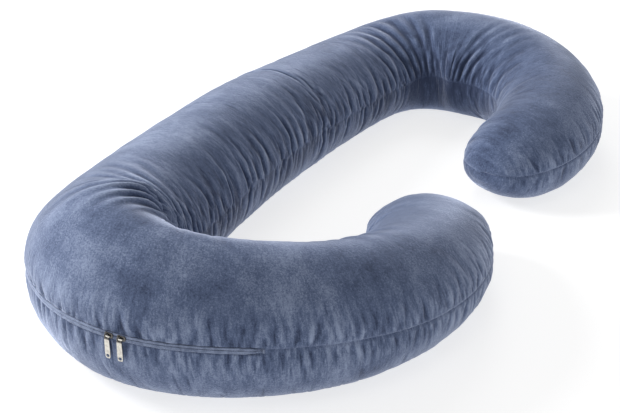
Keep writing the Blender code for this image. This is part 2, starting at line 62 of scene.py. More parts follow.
class Side(Enum):
    """Which half of the C an arm is."""

    NEAR = -1
    FAR = 1


class Seam(Enum):
    """The two long lines of the edge seam."""

    OUTER = "outer"
    INNER = "inner"


class Panel(Enum):
    """The two cloth panels of the cover."""

    UPPER = "upper"
    LOWER = "lower"


# ---------------------------------------------------------------- the filled form


@dataclass(frozen=True)
class Bend:
    """A stretch of an arm's middle line and how far it turns."""

    length: float
    degrees: float


@dataclass(frozen=True)
class Girth:
    """The filled tube's half width and height at a place."""

    place: float
    half_width: float
    height: float


@dataclass(frozen=True)
class SeamRise:
    """What share of the tube's height lies under the seam at a place."""

    place: float
    share: float


@dataclass(frozen=True)
class Bulge:
    """Filling pushed out of the inner side of a turn."""

    depth: float
    place: float
    reach: float


@dataclass(frozen=True)
class Fold:
    """A long fold from the inner seam over the crown.

    Place and lean are metres along the arm, at the inner seam and towards the outer
    side. Reach is the share of the crown that the fold crosses.
    """

    place: float
    lean: float
    width: float
    depth: float
    reach: float


def eased(share: np.ndarray) -> np.ndarray:
    """A smooth step from 0 to 1 while share goes from 0 to 1."""
    share = np.clip(share, 0.0, 1.0)
    return share * share * (3 - 2 * share)


def bell(distance: np.ndarray, width: Union[float, np.ndarray]) -> np.ndarray:
    """A bell of height 1 at distance 0."""
    return np.exp(-((distance / width) ** 2))


def varied(rng: np.random.Generator, least: float, spread: float) -> float:
    """A random number between least and least plus spread."""
    return least + spread * rng.random()


def crease(x: np.ndarray, swell: float, apart: float) -> np.ndarray:
    """A crease of depth 1 at 0 between two low swells, apart from it on each side."""
    return bell(x, 1.0) - swell * bell(np.abs(x) - apart, 0.8)


def through(places: np.ndarray, values: np.ndarray, at: np.ndarray) -> np.ndarray:
    """The smooth curve through a table's values.

    Args:
        places: Rising places of the table's rows.
        values: The value in each row.
        at: Places to read the curve at.

    Returns:
        The curve's value at each place.
    """
    last = len(places) - 1
    before = np.maximum(np.arange(last + 1) - 1, 0)
    after = np.minimum(np.arange(last + 1) + 1, last)
    slopes = (values[after] - values[before]) / (places[after] - places[before])
    i = np.clip(np.searchsorted(places, at, side="right") - 1, 0, last - 1)
    span = places[i + 1] - places[i]
    t = np.clip((at - places[i]) / span, 0.0, 1.0)
    rise = 3 * t**2 - 2 * t**3
    leave = (t**3 - 2 * t**2 + t) * span * slopes[i]
    arrive = (t**3 - t**2) * span * slopes[i + 1]
    return values[i] * (1 - rise) + values[i + 1] * rise + leave + arrive


@dataclass
class Arm:
    """One half of the C: its middle line and its section at each place."""

    side: Side
    bends: tuple[Bend, ...]
    girths: tuple[Girth, ...]
    end_length: float
    folds: tuple[Fold, ...]
    seams: tuple[SeamRise, ...] = (SeamRise(0.0, 0.495), SeamRise(1.4, 0.495))
    bulge: Optional[Bulge] = None
    end_roundness: float = 2.5
    softness: float = 0.048
    back_middle: tuple[float, float] = (-0.226, -0.019)
    steps: int = 4000
    turn_crowding: float = 0.6
    crowding_steps: int = 2000

    def __post_init__(self) -> None:
        """Walks the middle line once, so that any place can be read from it."""
        self.length = sum(bend.length for bend in self.bends)
        self.walked = np.linspace(0.0, self.length, self.steps + 1)
        step = self.length / self.steps
        middles = self.walked[:-1] + step / 2
        turned = np.concatenate([[0.0], np.cumsum(self.turning(middles)) * step])
        self.headings = turned
        halfway = (turned[:-1] + turned[1:]) / 2
        along_x = np.concatenate([[0.0], np.cumsum(np.sin(halfway)) * step])
        along_y = np.concatenate([[0.0], np.cumsum(np.cos(halfway)) * step])
        self.xs = self.back_middle[0] + along_x
        self.ys = self.back_middle[1] + self.side.value * along_y

    def turning(self, place: np.ndarray) -> np.ndarray:
        """How fast the line turns at each place, in radians for each metre."""
        start, total = 0.0, np.zeros_like(place)
        soft = self.softness * math.sqrt(2)
        erf = np.vectorize(math.erf)
        last = len(self.bends) - 1
        for i, bend in enumerate(self.bends):
            stop = start + bend.length
            rate = math.radians(bend.degrees) / bend.length
            begun = 1.0 if i == 0 else 0.5 + 0.5 * erf((place - start) / soft)
            ended = 0.0 if i == last else 0.5 + 0.5 * erf((place - stop) / soft)
            total = total + rate * (begun - ended)
            start = stop
        return total

    def station(self, place: np.ndarray) -> tuple[np.ndarray, np.ndarray]:
        """The line at each place.

        Args:
            place: Places along the arm.

        Returns:
            Points of the line, and level directions that point out of the C.
        """
        heading = np.interp(place, self.walked, self.headings)
        point = np.stack(
            [
                np.interp(place, self.walked, self.xs),
                np.interp(place, self.walked, self.ys),
            ],
            axis=-1,
        )
        outward = np.stack(
            [-np.cos(heading), self.side.value * np.sin(heading)], axis=-1
        )
        return point, outward

    def column(self, name: str, place: np.ndarray) -> np.ndarray:
        """One column of the girth table, smoothly, at each place."""
        places = np.array([girth.place for girth in self.girths])
        values = np.array([getattr(girth, name) for girth in self.girths])
        return through(places, values, place)

    def seam_height(self, place: np.ndarray) -> np.ndarray:
        """The seam's height at each place."""
        places = np.array([seam.place for seam in self.seams])
        shares = np.array([seam.share for seam in self.seams])
        return through(places, shares, place) * self.column("height", place)

    def inner_extra(self, place: np.ndarray) -> np.ndarray:
        """How much further the inner side reaches than the outer side."""
        if self.bulge is None:
            return np.zeros_like(place)
        return self.bulge.depth * bell(place - self.bulge.place, self.bulge.reach)

    def fullness(self, place: np.ndarray) -> np.ndarray:
        """1 along the tube, falling to 0 at the tip of the rounded end."""
        start = self.length - self.end_length
        along = np.clip((place - start) / self.end_length, 0.0, 1.0)
        return (1 - along**self.end_roundness) ** (1 / self.end_roundness)

    def ring_places(self, spacing: float, end_rings: int) -> np.ndarray:
        """Places of the rings, closer in the turns and at the end.

        Args:
            spacing: The widest distance between two rings.
            end_rings: How many rings the rounded end has.

        Returns:
            Rising places from the middle of the back to the tip.
        """
        start = self.length - self.end_length
        grid = np.linspace(0.0, start, self.crowding_steps)
        turning = np.maximum(self.turning(grid), 0.0)
        stretch = 1 + self.turn_crowding * turning * self.column("half_width", grid)
        steps = np.diff(grid) * (stretch[1:] + stretch[:-1]) / 2
        travelled = np.concatenate([[0.0], np.cumsum(steps)])
        count = max(int(travelled[-1] / spacing), 2)
        even = np.linspace(0.0, travelled[-1], count, endpoint=False)
        tube = np.interp(even, travelled, grid)
        angle = np.linspace(0.0, math.pi / 2, end_rings)
        end = start + np.sin(angle) ** (2 / self.end_roundness) * self.end_length
        return np.concatenate([tube, end])


NEAR_ARM = Arm(
    side=Side.NEAR,
    bends=(Bend(0.439, 5.7), Bend(0.253, 93.5), Bend(0.573, 112.0), Bend(0.091, 0.0)),
    girths=(
        Girth(0.000, 0.115, 0.199),
        Girth(0.439, 0.114, 0.210),
        Girth(0.566, 0.104, 0.243),
        Girth(0.961, 0.101, 0.179),
        Girth(1.356, 0.099, 0.113),
    ),
    seams=(
        SeamRise(0.00, 0.495),
        SeamRise(0.50, 0.466),
        SeamRise(0.60, 0.472),
        SeamRise(0.68, 0.483),
        SeamRise(0.78, 0.505),
        SeamRise(0.90, 0.512),
        SeamRise(1.02, 0.488),
        SeamRise(1.356, 0.495),
    ),
    end_length=0.114,
    folds=(
        Fold(0.420, -0.100, 0.012, 3.0 * MM, 0.62),
        Fold(0.448, -0.095, 0.010, 3.6 * MM, 0.70),
        Fold(0.470, -0.085, 0.009, 4.0 * MM, 0.62),
        Fold(0.490, -0.080, 0.009, 4.4 * MM, 0.78),
        Fold(0.508, -0.070, 0.008, 4.6 * MM, 0.66),
        Fold(0.526, -0.060, 0.008, 5.0 * MM, 0.82),
        Fold(0.543, -0.050, 0.008, 5.0 * MM, 0.70),
        Fold(0.560, -0.035, 0.008, 5.0 * MM, 0.80),
        Fold(0.577, -0.020, 0.008, 4.6 * MM, 0.66),
        Fold(0.594, -0.008, 0.009, 4.4 * MM, 0.72),
        Fold(0.614, 0.004, 0.010, 4.0 * MM, 0.58),
        Fold(0.640, 0.015, 0.011, 3.2 * MM, 0.52),
        Fold(0.690, 0.030, 0.015, 2.4 * MM, 0.46),
        Fold(0.880, 0.040, 0.016, 2.6 * MM, 0.42),
        Fold(0.950, 0.050, 0.013, 3.8 * MM, 0.52),
        Fold(0.990, 0.050, 0.012, 4.2 * MM, 0.58),
        Fold(1.030, 0.050, 0.012, 4.0 * MM, 0.54),
        Fold(1.080, 0.040, 0.014, 3.2 * MM, 0.46),
    ),
)

FAR_ARM = Arm(
    side=Side.FAR,
    bends=(Bend(0.462, 8.4), Bend(0.376, 115.9), Bend(0.457, 82.8), Bend(0.059, 0.0)),
    girths=(
        Girth(0.000, 0.115, 0.199),
        Girth(0.462, 0.113, 0.172),
        Girth(0.650, 0.106, 0.195),
        Girth(1.001, 0.101, 0.177),
        Girth(1.353, 0.096, 0.134),
    ),
    end_length=0.167,
    bulge=Bulge(0.044, 0.755, 0.13),
    folds=(
        Fold(0.440, -0.070, 0.012, 2.4 * MM, 0.58),
        Fold(0.475, -0.065, 0.011, 3.0 * MM, 0.66),
        Fold(0.505, -0.060, 0.011, 3.4 * MM, 0.72),
        Fold(0.535, -0.050, 0.010, 3.6 * MM, 0.66),
        Fold(0.565, -0.045, 0.011, 3.8 * MM, 0.74),
        Fold(0.595, -0.030, 0.010, 3.4 * MM, 0.62),
        Fold(0.625, -0.020, 0.011, 3.0 * MM, 0.52),
        Fold(0.690, 0.000, 0.013, 1.6 * MM, 0.40),
        Fold(0.750, 0.020, 0.012, 2.2 * MM, 0.44),
        Fold(0.785, 0.035, 0.010, 3.6 * MM, 0.66),
        Fold(0.812, 0.045, 0.010, 3.4 * MM, 0.56),
        Fold(0.840, 0.055, 0.011, 3.4 * MM, 0.62),
        Fold(0.872, 0.065, 0.011, 3.0 * MM, 0.52),
        Fold(0.910, 0.075, 0.012, 2.4 * MM, 0.46),
        Fold(0.955, 0.080, 0.014, 2.0 * MM, 0.40),
    ),
)


@dataclass(frozen=True)
class Shoulder:
    """Where the crown's inner half is squarer, or flatter, on the near arm."""

    place: float
    reach: float
    squareness: float


@dataclass
class CoverForm:
    """The smooth form of the filled cover as rings of points round the tube.

    Column 0 is the outer seam. The columns run over the crown to the inner seam and
    back under the pillow.
    """

    near: Arm = field(default_factory=lambda: NEAR_ARM)
    far: Arm = field(default_factory=lambda: FAR_ARM)
    ring_spacing: float = 2.7 * MM
    end_rings: int = 56
    crown_roundness: float = 1.8
    belly_roundness: float = 2.35
    belly_lift_at_end: float = 1.15
    floor_sink: float = 0.007
    shoulders: tuple[Shoulder, ...] = (
        Shoulder(0.50, 0.11, 1.5),
        Shoulder(0.69, 0.13, -0.50),
    )
    crown_columns: int = 44
    belly_columns: int = 29
    fine_steps: int = 120
    crown_margins: tuple[float, ...] = (1.2, 2.6, 4.2, 4.8, 8.0, 13.0, 20.0)
    belly_margins: tuple[float, ...] = (1.2, 2.6, 5.8, 6.4, 9.0, 13.0, 20.0)
    margin_share: float = 0.16
    resting_height: float = 0.3 * MM

    def __post_init__(self) -> None:
        """Lays out the rings and their points."""
        near_places = self.near.ring_places(self.ring_spacing, self.end_rings)
        far_places = self.far.ring_places(self.ring_spacing, self.end_rings)
        self.place = np.concatenate([-near_places[::-1], far_places[1:]])
        self.is_far = self.place >= 0
        self.point = self._pick("station", 0)
        self.outward = self._pick("station", 1)
        self.full = self._pick("fullness")
        self.height = self._pick("column", name="height")
        self.half_width = self._pick("column", name="half_width")
        self.inner_extra = self._pick("inner_extra")
        self.seam_height = self._pick("seam_height")
        self._lay_sections()

    def _pick(
        self, method: str, index: Optional[int] = None, name: Optional[str] = None
    ) -> np.ndarray:
        """Reads one quantity of every ring from the arm that the ring is on.

        Args:
            method: The arm's method to read.
            index: Which of several results is wanted.
            name: The girth table's column, where the method needs one.

        Returns:
            The quantity for each ring.
        """
        parts = []
        for arm, mask in ((self.near, ~self.is_far), (self.far, self.is_far)):
            places = np.abs(self.place[mask])
            call = getattr(arm, method)
            found = call(name, places) if name else call(places)
            parts.append(found if index is None else found[index])
        return np.concatenate(parts)

    def _half_section(
        self,
        up: np.ndarray,
        roundness: tuple[float, np.ndarray],
        cap: np.ndarray,
        columns: int,
        seam_margins: tuple[float, ...],
    ) -> tuple[np.ndarray, np.ndarray, np.ndarray, np.ndarray]:
        """One half of every ring, from the outer seam to the inner seam.

        Args:
            up: How far each ring rises from its seam.
            roundness: The power of the section's curve, on its outer and inner half.
            cap: The most that each ring may rise, where it rests on the floor.
            columns: How many points lie between the two seams.
            seam_margins: Distances of the points next to a seam, in millimetres.

        Returns:
            Across and up of the points, their distance from the outer seam, and each
            ring's whole distance between the seams.
        """
        angle = math.pi * (0.5 - 0.5 * np.cos(np.linspace(0, math.pi, self.fine_steps)))
        c, s = np.cos(angle), np.sin(angle)
        outer = self.half_width * self.full
        inner = (self.half_width + self.inner_extra) * self.full
        power = np.where(c >= 0, 2 / roundness[0], 2 / roundness[1][:, None])
        shape_x = np.sign(c) * np.abs(c) ** power
        shape_y = np.abs(s) ** power
        x = np.where(c >= 0, outer[:, None], inner[:, None]) * shape_x
        y = np.minimum(up[:, None] * shape_y, cap[:, None])
        steps = np.hypot(np.diff(x, axis=1), np.diff(y, axis=1))
        lengths = np.concatenate(
            [np.zeros((len(up), 1)), np.cumsum(steps, axis=1)], axis=1
        )
        whole = lengths[:, -1]
        margins = np.array(seam_margins) * MM
        scale = np.minimum(1.0, self.margin_share * whole / margins[-1])
        between = columns - 2 * len(margins)
        shares = np.arange(1, between + 1) / (between + 1)
        wanted = np.empty((len(up), columns))
        near = margins[None, :] * scale[:, None]
        wanted[:, : len(margins)] = near
        wanted[:, -len(margins) :] = (whole[:, None] - near)[:, ::-1]
        free = whole - 2 * near[:, -1]
        middle = near[:, -1][:, None] + free[:, None] * shares[None, :]
        wanted[:, len(margins) : columns - len(margins)] = middle
        across, rise = np.empty_like(wanted), np.empty_like(wanted)
        for ring in range(len(up)):
            across[ring] = np.interp(wanted[ring], lengths[ring], x[ring])
            rise[ring] = np.interp(wanted[ring], lengths[ring], y[ring])
        return across, rise, wanted, whole

    def _lay_sections(self) -> None:
        """Works out every ring's points and their distances from the seams."""
        crown = (self.height - self.seam_height) * self.full
        lift = self.full**self.belly_lift_at_end
        belly = (self.seam_height + self.floor_sink) * lift
        fuller = np.zeros_like(self.place)
        for part in self.shoulders:
            fuller += part.squareness * bell(-self.place - part.place, part.reach)
        above = self._half_section(
            crown,
            (self.crown_roundness, self.crown_roundness + fuller),
            crown,
            self.crown_columns,
            self.crown_margins,
        )
        below = self._half_section(
            belly,
            (self.belly_roundness, np.full_like(belly, self.belly_roundness)),
            self.seam_height,
            self.belly_columns,
            self.belly_margins,
        )
        outer = (self.half_width * self.full)[:, None]
        inner = ((self.half_width + self.inner_extra) * self.full)[:, None]
        level = np.zeros_like(outer)
        across = np.hstack([outer, above[0], -inner, below[0][:, ::-1]])
        rise = np.hstack([level, above[1], level, -below[1][:, ::-1]])
        below_out = below[2][:, ::-1]
        self.from_outer = np.hstack([level, above[2], above[3][:, None], below_out])
        whole = np.hstack(
            [
                np.repeat(above[3][:, None], self.crown_columns + 2, axis=1),
                np.repeat(below[3][:, None], self.belly_columns, axis=1),
            ]
        )
        self.from_inner = whole - self.from_outer
        self.whole = whole
        self.columns = across.shape[1]
        self.inner_column = self.crown_columns + 1
        self.base = self.at(across, rise)
        self.on_floor = self.base[:, :, 2] < self.resting_height

    def at(self, across: np.ndarray, rise: np.ndarray) -> np.ndarray:
        """World points of ring coordinates.

        Args:
            across: Distances outward from the middle line, a row for each ring.
            rise: Heights above the seam, a row for each ring.

        Returns:
            Points, as rings by columns by three.
        """
        flat = self.point[:, None, :] + self.outward[:, None, :] * across[:, :, None]
        z = self.seam_height[:, None] + rise
        return np.concatenate([flat, z[:, :, None]], axis=2)

    def normals(self, points: np.ndarray) -> np.ndarray:
        """Outward unit normals of a grid of points that closes round the tube."""
        along = np.gradient(points, axis=0)
        around = np.roll(points, -1, axis=1) - np.roll(points, 1, axis=1)
        normal = np.cross(around, along)
        length = np.linalg.norm(normal, axis=2, keepdims=True)
        return normal / np.maximum(length, 1e-12)

    def seam_run(self, seam: Seam) -> np.ndarray:
        """Distance along one seam for each ring, 0 at the middle of the back."""
        column = 0 if seam is Seam.OUTER else self.inner_column
        line = self.base[:, column]
        steps = np.linalg.norm(np.diff(line, axis=0), axis=1)
        run = np.concatenate([[0.0], np.cumsum(steps)])
        return run - np.interp(0.0, self.place, run)


# ---------------------------------------------------------------- folds and puckers


@dataclass(frozen=True)
class Strength:
    """How strong a band of creases is at a signed place."""

    place: float
    amount: float


@dataclass(frozen=True)
class CreaseBand:
    """Creases that start at one seam and run into one panel beside it."""

    seam: Seam
    panel: Panel
    pitch: float
    depth: float
    reach: float
    width: float
    lean: float
    seed: int
    strengths: tuple[Strength, ...]
    spread: float = 0.45
    widening: float = 0.9
    weakest: float = 0.35
    swell: float = 0.38
    start_run: float = 6 * MM

    def add_to(self, offsets: np.ndarray, form: CoverForm) -> None:
        """Draws the cloth in along each crease of the band.

        Args:
            offsets: Outward offsets of the form's points, changed in place.
            form: The cover's form.
        """
        rng = np.random.default_rng(self.seed)
        run = form.seam_run(self.seam)
        distance = form.from_outer if self.seam is Seam.OUTER else form.from_inner
        columns = self._columns(form)
        distance = distance[:, columns]
        places = np.array([s.place for s in self.strengths])
        amounts = np.array([s.amount for s in self.strengths])
        at = run[0] + self.pitch * rng.random()
        while at < run[-1]:
            place = float(np.interp(at, run, form.place))
            amount = float(np.interp(place, places, amounts))
            strength = amount * (self.weakest + (1 - self.weakest) * rng.random() ** 1.3)
            reach = self.reach * varied(rng, 0.45, 0.9)
            width = self.width * varied(rng, 0.75, 0.6)
            lean = self.lean * rng.normal() + 0.12 * rng.normal()
            bow = 0.25 * rng.normal()
            step = self.pitch * (1 + self.spread * (2 * rng.random() - 1))
            if strength > 0.02:
                margin = 5 * width + (abs(lean) + abs(bow)) * reach
                low, high = np.searchsorted(run, [at - margin, at + margin])
                part = distance[low:high]
                share = part / reach
                centre = at + lean * part + bow * part * share
                wide = width * (1 + self.widening * share)
                x = (run[low:high, None] - centre) / wide
                shape = crease(x, self.swell, 1.75)
                fade = eased(1 - share) * (0.25 + 0.75 * eased(part / self.start_run))
                offsets[low:high, columns] -= self.depth * strength * shape * fade
            at += step

    def _columns(self, form: CoverForm) -> slice:
        """The columns of the band's panel, with its seams left out."""
        if self.panel is Panel.UPPER:
            return slice(1, form.inner_column)
        return slice(form.inner_column + 1, form.columns)


def wave_field(
    form: CoverForm, rng: np.random.Generator, length: float, count: int
) -> np.ndarray:
    """Smooth random waves over the cover, between about -1 and 1.

    Args:
        form: The cover's form.
        rng: The source of random numbers.
        length: The waves' typical length.
        count: How many waves are added up.

    Returns:
        The waves' height at each point.
    """
    total = np.zeros(form.base.shape[:2])
    for _ in range(count):
        direction = rng.normal(size=3)
        direction *= varied(rng, 0.6, 0.8) / np.linalg.norm(direction)
        phase = rng.random() * 2 * math.pi
        total += np.sin(2 * math.pi * (form.base @ direction) / length + phase)
    return total / math.sqrt(count)


ALL_ALONG = (Strength(-1.4, 1.0), Strength(1.4, 1.0))


@dataclass
class Folds:
    """Everything that raises or draws in the cover's cloth."""

    seam_depth: float = 2.5 * MM
    inner_share: float = 0.40
    seam_width: float = 1.9 * MM
    shoulder_depth: float = 1.8 * MM
    shoulder_width: float = 12.0 * MM
    lump_height: float = 2.2 * MM
    lump_length: float = 0.30
    dimple_height: float = 0.7 * MM
    dimple_length: float = 0.075
    calm_reach: float = 14 * MM
    calm_share: float = 0.35
    floor_reach: float = 25 * MM
    bands: tuple[CreaseBand, ...] = (
        CreaseBand(
            Seam.OUTER, Panel.UPPER, 10 * MM, 3.4 * MM, 0.055, 3.8 * MM, 0.10, 11,
            (
                Strength(-1.36, 1.3), Strength(-1.10, 1.2), Strength(-0.95, 1.0),
                Strength(-0.80, 1.0), Strength(-0.55, 0.6), Strength(-0.3, 0.5),
                Strength(0.4, 0.5), Strength(0.8, 0.7), Strength(1.36, 1.2),
            ),
        ),
        CreaseBand(
            Seam.OUTER, Panel.LOWER, 10 * MM, 3.2 * MM, 0.050, 3.8 * MM, 0.10, 12,
            (
                Strength(-1.36, 1.3), Strength(-0.95, 1.0), Strength(-0.80, 1.2),
                Strength(-0.55, 0.8), Strength(0.4, 0.6), Strength(1.36, 1.2),
            ),
        ),
        CreaseBand(
            Seam.INNER, Panel.UPPER, 10 * MM, 3.4 * MM, 0.150, 4.6 * MM, 0.25, 13,
            (
                Strength(-1.3, 0.7), Strength(-0.75, 0.6), Strength(-0.5, 1.0),
                Strength(0.5, 1.0), Strength(0.9, 0.8), Strength(1.3, 0.5),
            ),
        ),
        CreaseBand(
            Seam.INNER, Panel.LOWER, 10 * MM, 3.0 * MM, 0.085, 4.4 * MM, 0.20, 14,
            ALL_ALONG,
        ),
        CreaseBand(
            Seam.OUTER, Panel.UPPER, 26 * MM, 2.0 * MM, 0.100, 7.5 * MM, 0.20, 15,
            ALL_ALONG,
        ),
        CreaseBand(
            Seam.INNER, Panel.UPPER, 5.6 * MM, 7.5 * MM, 0.185, 2.3 * MM, 0.22, 16,
            (
                Strength(-0.74, 0.0), Strength(-0.66, 0.7), Strength(-0.55, 1.0),
                Strength(-0.42, 0.7), Strength(-0.32, 0.0), Strength(0.46, 0.0),
                Strength(0.56, 0.5), Strength(0.66, 0.2), Strength(0.74, 0.2),
                Strength(0.82, 0.6), Strength(0.96, 0.0),
            ),
            widening=2.0,
        ),
    )

    def offsets(self, form: CoverForm) -> np.ndarray:
        """Outward offsets of the form's points.

        Args:
            form: The cover's form.

        Returns:
            An offset for each ring and column, 0 where the cloth rests on the floor.
        """
        offsets = np.zeros(form.base.shape[:2])
        rng = np.random.default_rng(7)
        offsets += self.lump_height * wave_field(form, rng, self.lump_length, 12)
        offsets += self.dimple_height * wave_field(form, rng, self.dimple_length, 24)
        self._add_long_folds(offsets, form)
        for band in self.bands:
            band.add_to(offsets, form)
        calm = eased(form.from_outer / self.calm_reach)
        far_turn = eased((form.place - 0.48) / 0.08)[:, None]
        calm *= 1 - far_turn * (1 - eased(form.from_inner / self.calm_reach))
        offsets *= self.calm_share + (1 - self.calm_share) * calm
        return offsets * self._calm_at_rest(form)

    def seam_offsets(self, form: CoverForm) -> np.ndarray:
        """How far the two seams are drawn in, for each ring and column."""
        edge = np.minimum(form.from_outer, form.from_inner)
        inner = form.from_inner < form.from_outer
        drawn = self.seam_depth * bell(edge, self.seam_width)
        drawn += self.shoulder_depth * bell(edge, self.shoulder_width)
        on_back = 1 - eased((np.abs(form.place) - 0.42) / 0.12)[:, None]
        drawn *= np.where(inner, self.inner_share * (1 - 0.75 * on_back), 1.0)
        return -drawn * eased(form.full / 0.16)[:, None] * self._off_floor(form)

    def _calm_at_rest(self, form: CoverForm) -> np.ndarray:
        """1, falling to 0 at the tips and where the cloth nears the floor."""
        return eased(form.full[:, None] / 0.6) * self._off_floor(form)

    def _off_floor(self, form: CoverForm) -> np.ndarray:
        """1, falling to 0 where the cloth nears the floor."""
        return eased(form.base[:, :, 2] / self.floor_reach)

    def _add_long_folds(self, offsets: np.ndarray, form: CoverForm) -> None:
        """Draws in the long folds that fan out from the inner side of the turns."""
        crown = slice(1, form.inner_column)
        whole = np.maximum(form.whole[:, crown], MM)
        share = 1 - form.from_outer[:, crown] / whole
        for arm in (form.near, form.far):
            mine = (form.place * arm.side.value) > 0
            place = np.abs(form.place[mine])[:, None]
            part = share[mine]
            depth = np.zeros_like(part)
            for fold in arm.folds:
                centre = fold.place + fold.lean * part
                width = 0.62 * fold.width * (1 + 0.8 * part)
                fade = eased((fold.reach - part) / (0.5 * fold.reach))
                start = eased((part + 0.06) / 0.12)
                shape = crease((place - centre) / width, 0.4, 1.8)
                depth += fold.depth * shape * fade * start
            rows = np.flatnonzero(mine)
            offsets[rows[0] : rows[-1] + 1, crown] -= depth


# ---------------------------------------------------------------- shader building


Value = Union[float, int, "Signal"]


class Signal:
    """A number on a shader socket that Python's arithmetic works on."""

    def __init__(self, graph: "Graph", socket: bpy.types.NodeSocket) -> None:
        """Keeps the socket and the graph that it is in."""
        self.graph = graph
        self.socket = socket

    def _math(self, operation: str, *values: Value) -> "Signal":
        """Adds one Math node and returns its result."""
        made = self.graph.node(
            "ShaderNodeMath", {"operation": operation}, dict(enumerate(values))
        )
        return Signal(self.graph, made.outputs[0])

    def __add__(self, other: Value) -> "Signal":
        """self + other"""
        return self._math("ADD", self, other)

    def __sub__(self, other: Value) -> "Signal":
        """self - other"""
        return self._math("SUBTRACT", self, other)

    def __rsub__(self, other: Value) -> "Signal":
        """other - self"""
        return self._math("SUBTRACT", other, self)

    def __mul__(self, other: Value) -> "Signal":
        """self * other"""
        return self._math("MULTIPLY", self, other)

    def band(self, low: float, high: float) -> "Signal":
        """Goes smoothly from 0 to 1 while the value goes from low to high."""
        made = self.graph.node(
            "ShaderNodeMapRange",
            {"interpolation_type": "SMOOTHSTEP"},
            {"Value": self, "From Min": low, "From Max": high},
        )
        return Signal(self.graph, made.outputs[0])


class Graph:
    """A material's node tree around one Principled shader."""

    def __init__(self, name: str) -> None:
        """Starts a material that has only its shader and output."""
        self.material = bpy.data.materials.new(name)
        self.material.use_nodes = True
        self.tree = self.material.node_tree
        self.shader = self.tree.nodes["Principled BSDF"]

    def node(
        self,
        kind: str,
        settings: Optional[dict] = None,
        inputs: Optional[dict] = None,
    ) -> bpy.types.Node:
        """Adds a node.

        Args:
            kind: The node's type.
            settings: The node's own properties, set before its sockets.
            inputs: A value, signal or socket for each input, by name or number.

        Returns:
            The new node.
        """
        made = self.tree.nodes.new(kind)
        for name, value in (settings or {}).items():
            setattr(made, name, value)
        for key, value in (inputs or {}).items():
            self.feed(made.inputs[key], value)
        return made

    def feed(self, socket: bpy.types.NodeSocket, value: object) -> None:
        """Links or sets one input socket."""
        if isinstance(value, Signal):
            value = value.socket
        if isinstance(value, bpy.types.NodeSocket):
            self.tree.links.new(value, socket)
        else:
            socket.default_value = value

    def set(self, **values: object) -> None:
        """Sets or links the shader's sockets, with _ for a space in their names."""
        for name, value in values.items():
            self.feed(self.shader.inputs[name.replace("_", " ")], value)

    def place(self) -> bpy.types.NodeSocket:
        """Object coordinates, in metres."""
        return self.node("ShaderNodeTexCoord").outputs["Object"]

    def northing(self, place: bpy.types.NodeSocket) -> Signal:
        """The second coordinate of a place, along the pillow's back."""
        made = self.node("ShaderNodeSeparateXYZ", {}, {"Vector": place})
        return Signal(self, made.outputs["Y"])

    def cloth_place(self) -> bpy.types.NodeSocket:
        """The piece's own UV map, in metres along and across the cloth."""
        return self.node("ShaderNodeUVMap", {"uv_map": "cloth"}).outputs["UV"]

    def attribute(self, name: str) -> Signal:
        """One of the piece's own point values."""
        made = self.node("ShaderNodeAttribute", {"attribute_name": name})
        return Signal(self, made.outputs["Fac"])

    def scaled(
        self, place: bpy.types.NodeSocket, scale: tuple[float, float, float]
    ) -> bpy.types.NodeSocket:
        """A place stretched along its axes."""
        made = self.node("ShaderNodeMapping", {}, {"Vector": place, "Scale": scale})
        return made.outputs[0]

    def noise(
        self,
        place: bpy.types.NodeSocket,
        scale: float,
        detail: float = 3.0,
        roughness: float = 0.55,
        distortion: float = 0.0,
    ) -> Signal:
        """Noise between about 0 and 1."""
        made = self.node(
            "ShaderNodeTexNoise",
            {},
            {
                "Vector": place,
                "Scale": scale,
                "Detail": detail,
                "Roughness": roughness,
                "Distortion": distortion,
            },
        )
        return Signal(self, made.outputs["Fac"])

    def mix(self, factor: Value, one: object, two: object) -> bpy.types.NodeSocket:
        """A colour between two colours."""
        made = self.node("ShaderNodeMix", {"data_type": "RGBA"})
        self.feed(made.inputs[0], factor)
        for socket, colour in ((made.inputs[6], one), (made.inputs[7], two)):
            self.feed(socket, (*colour, 1.0) if isinstance(colour, tuple) else colour)
        return made.outputs[2]

    def bump(
        self,
        height: Signal,
        strength: float,
        distance: float,
        under: Optional[bpy.types.NodeSocket] = None,
    ) -> bpy.types.NodeSocket:
        """A normal bent by a height, on top of another where one is given."""
        inputs = {"Height": height, "Strength": strength, "Distance": distance}
        if under is not None:
            inputs["Normal"] = under
        return self.node("ShaderNodeBump", {}, inputs).outputs[0]


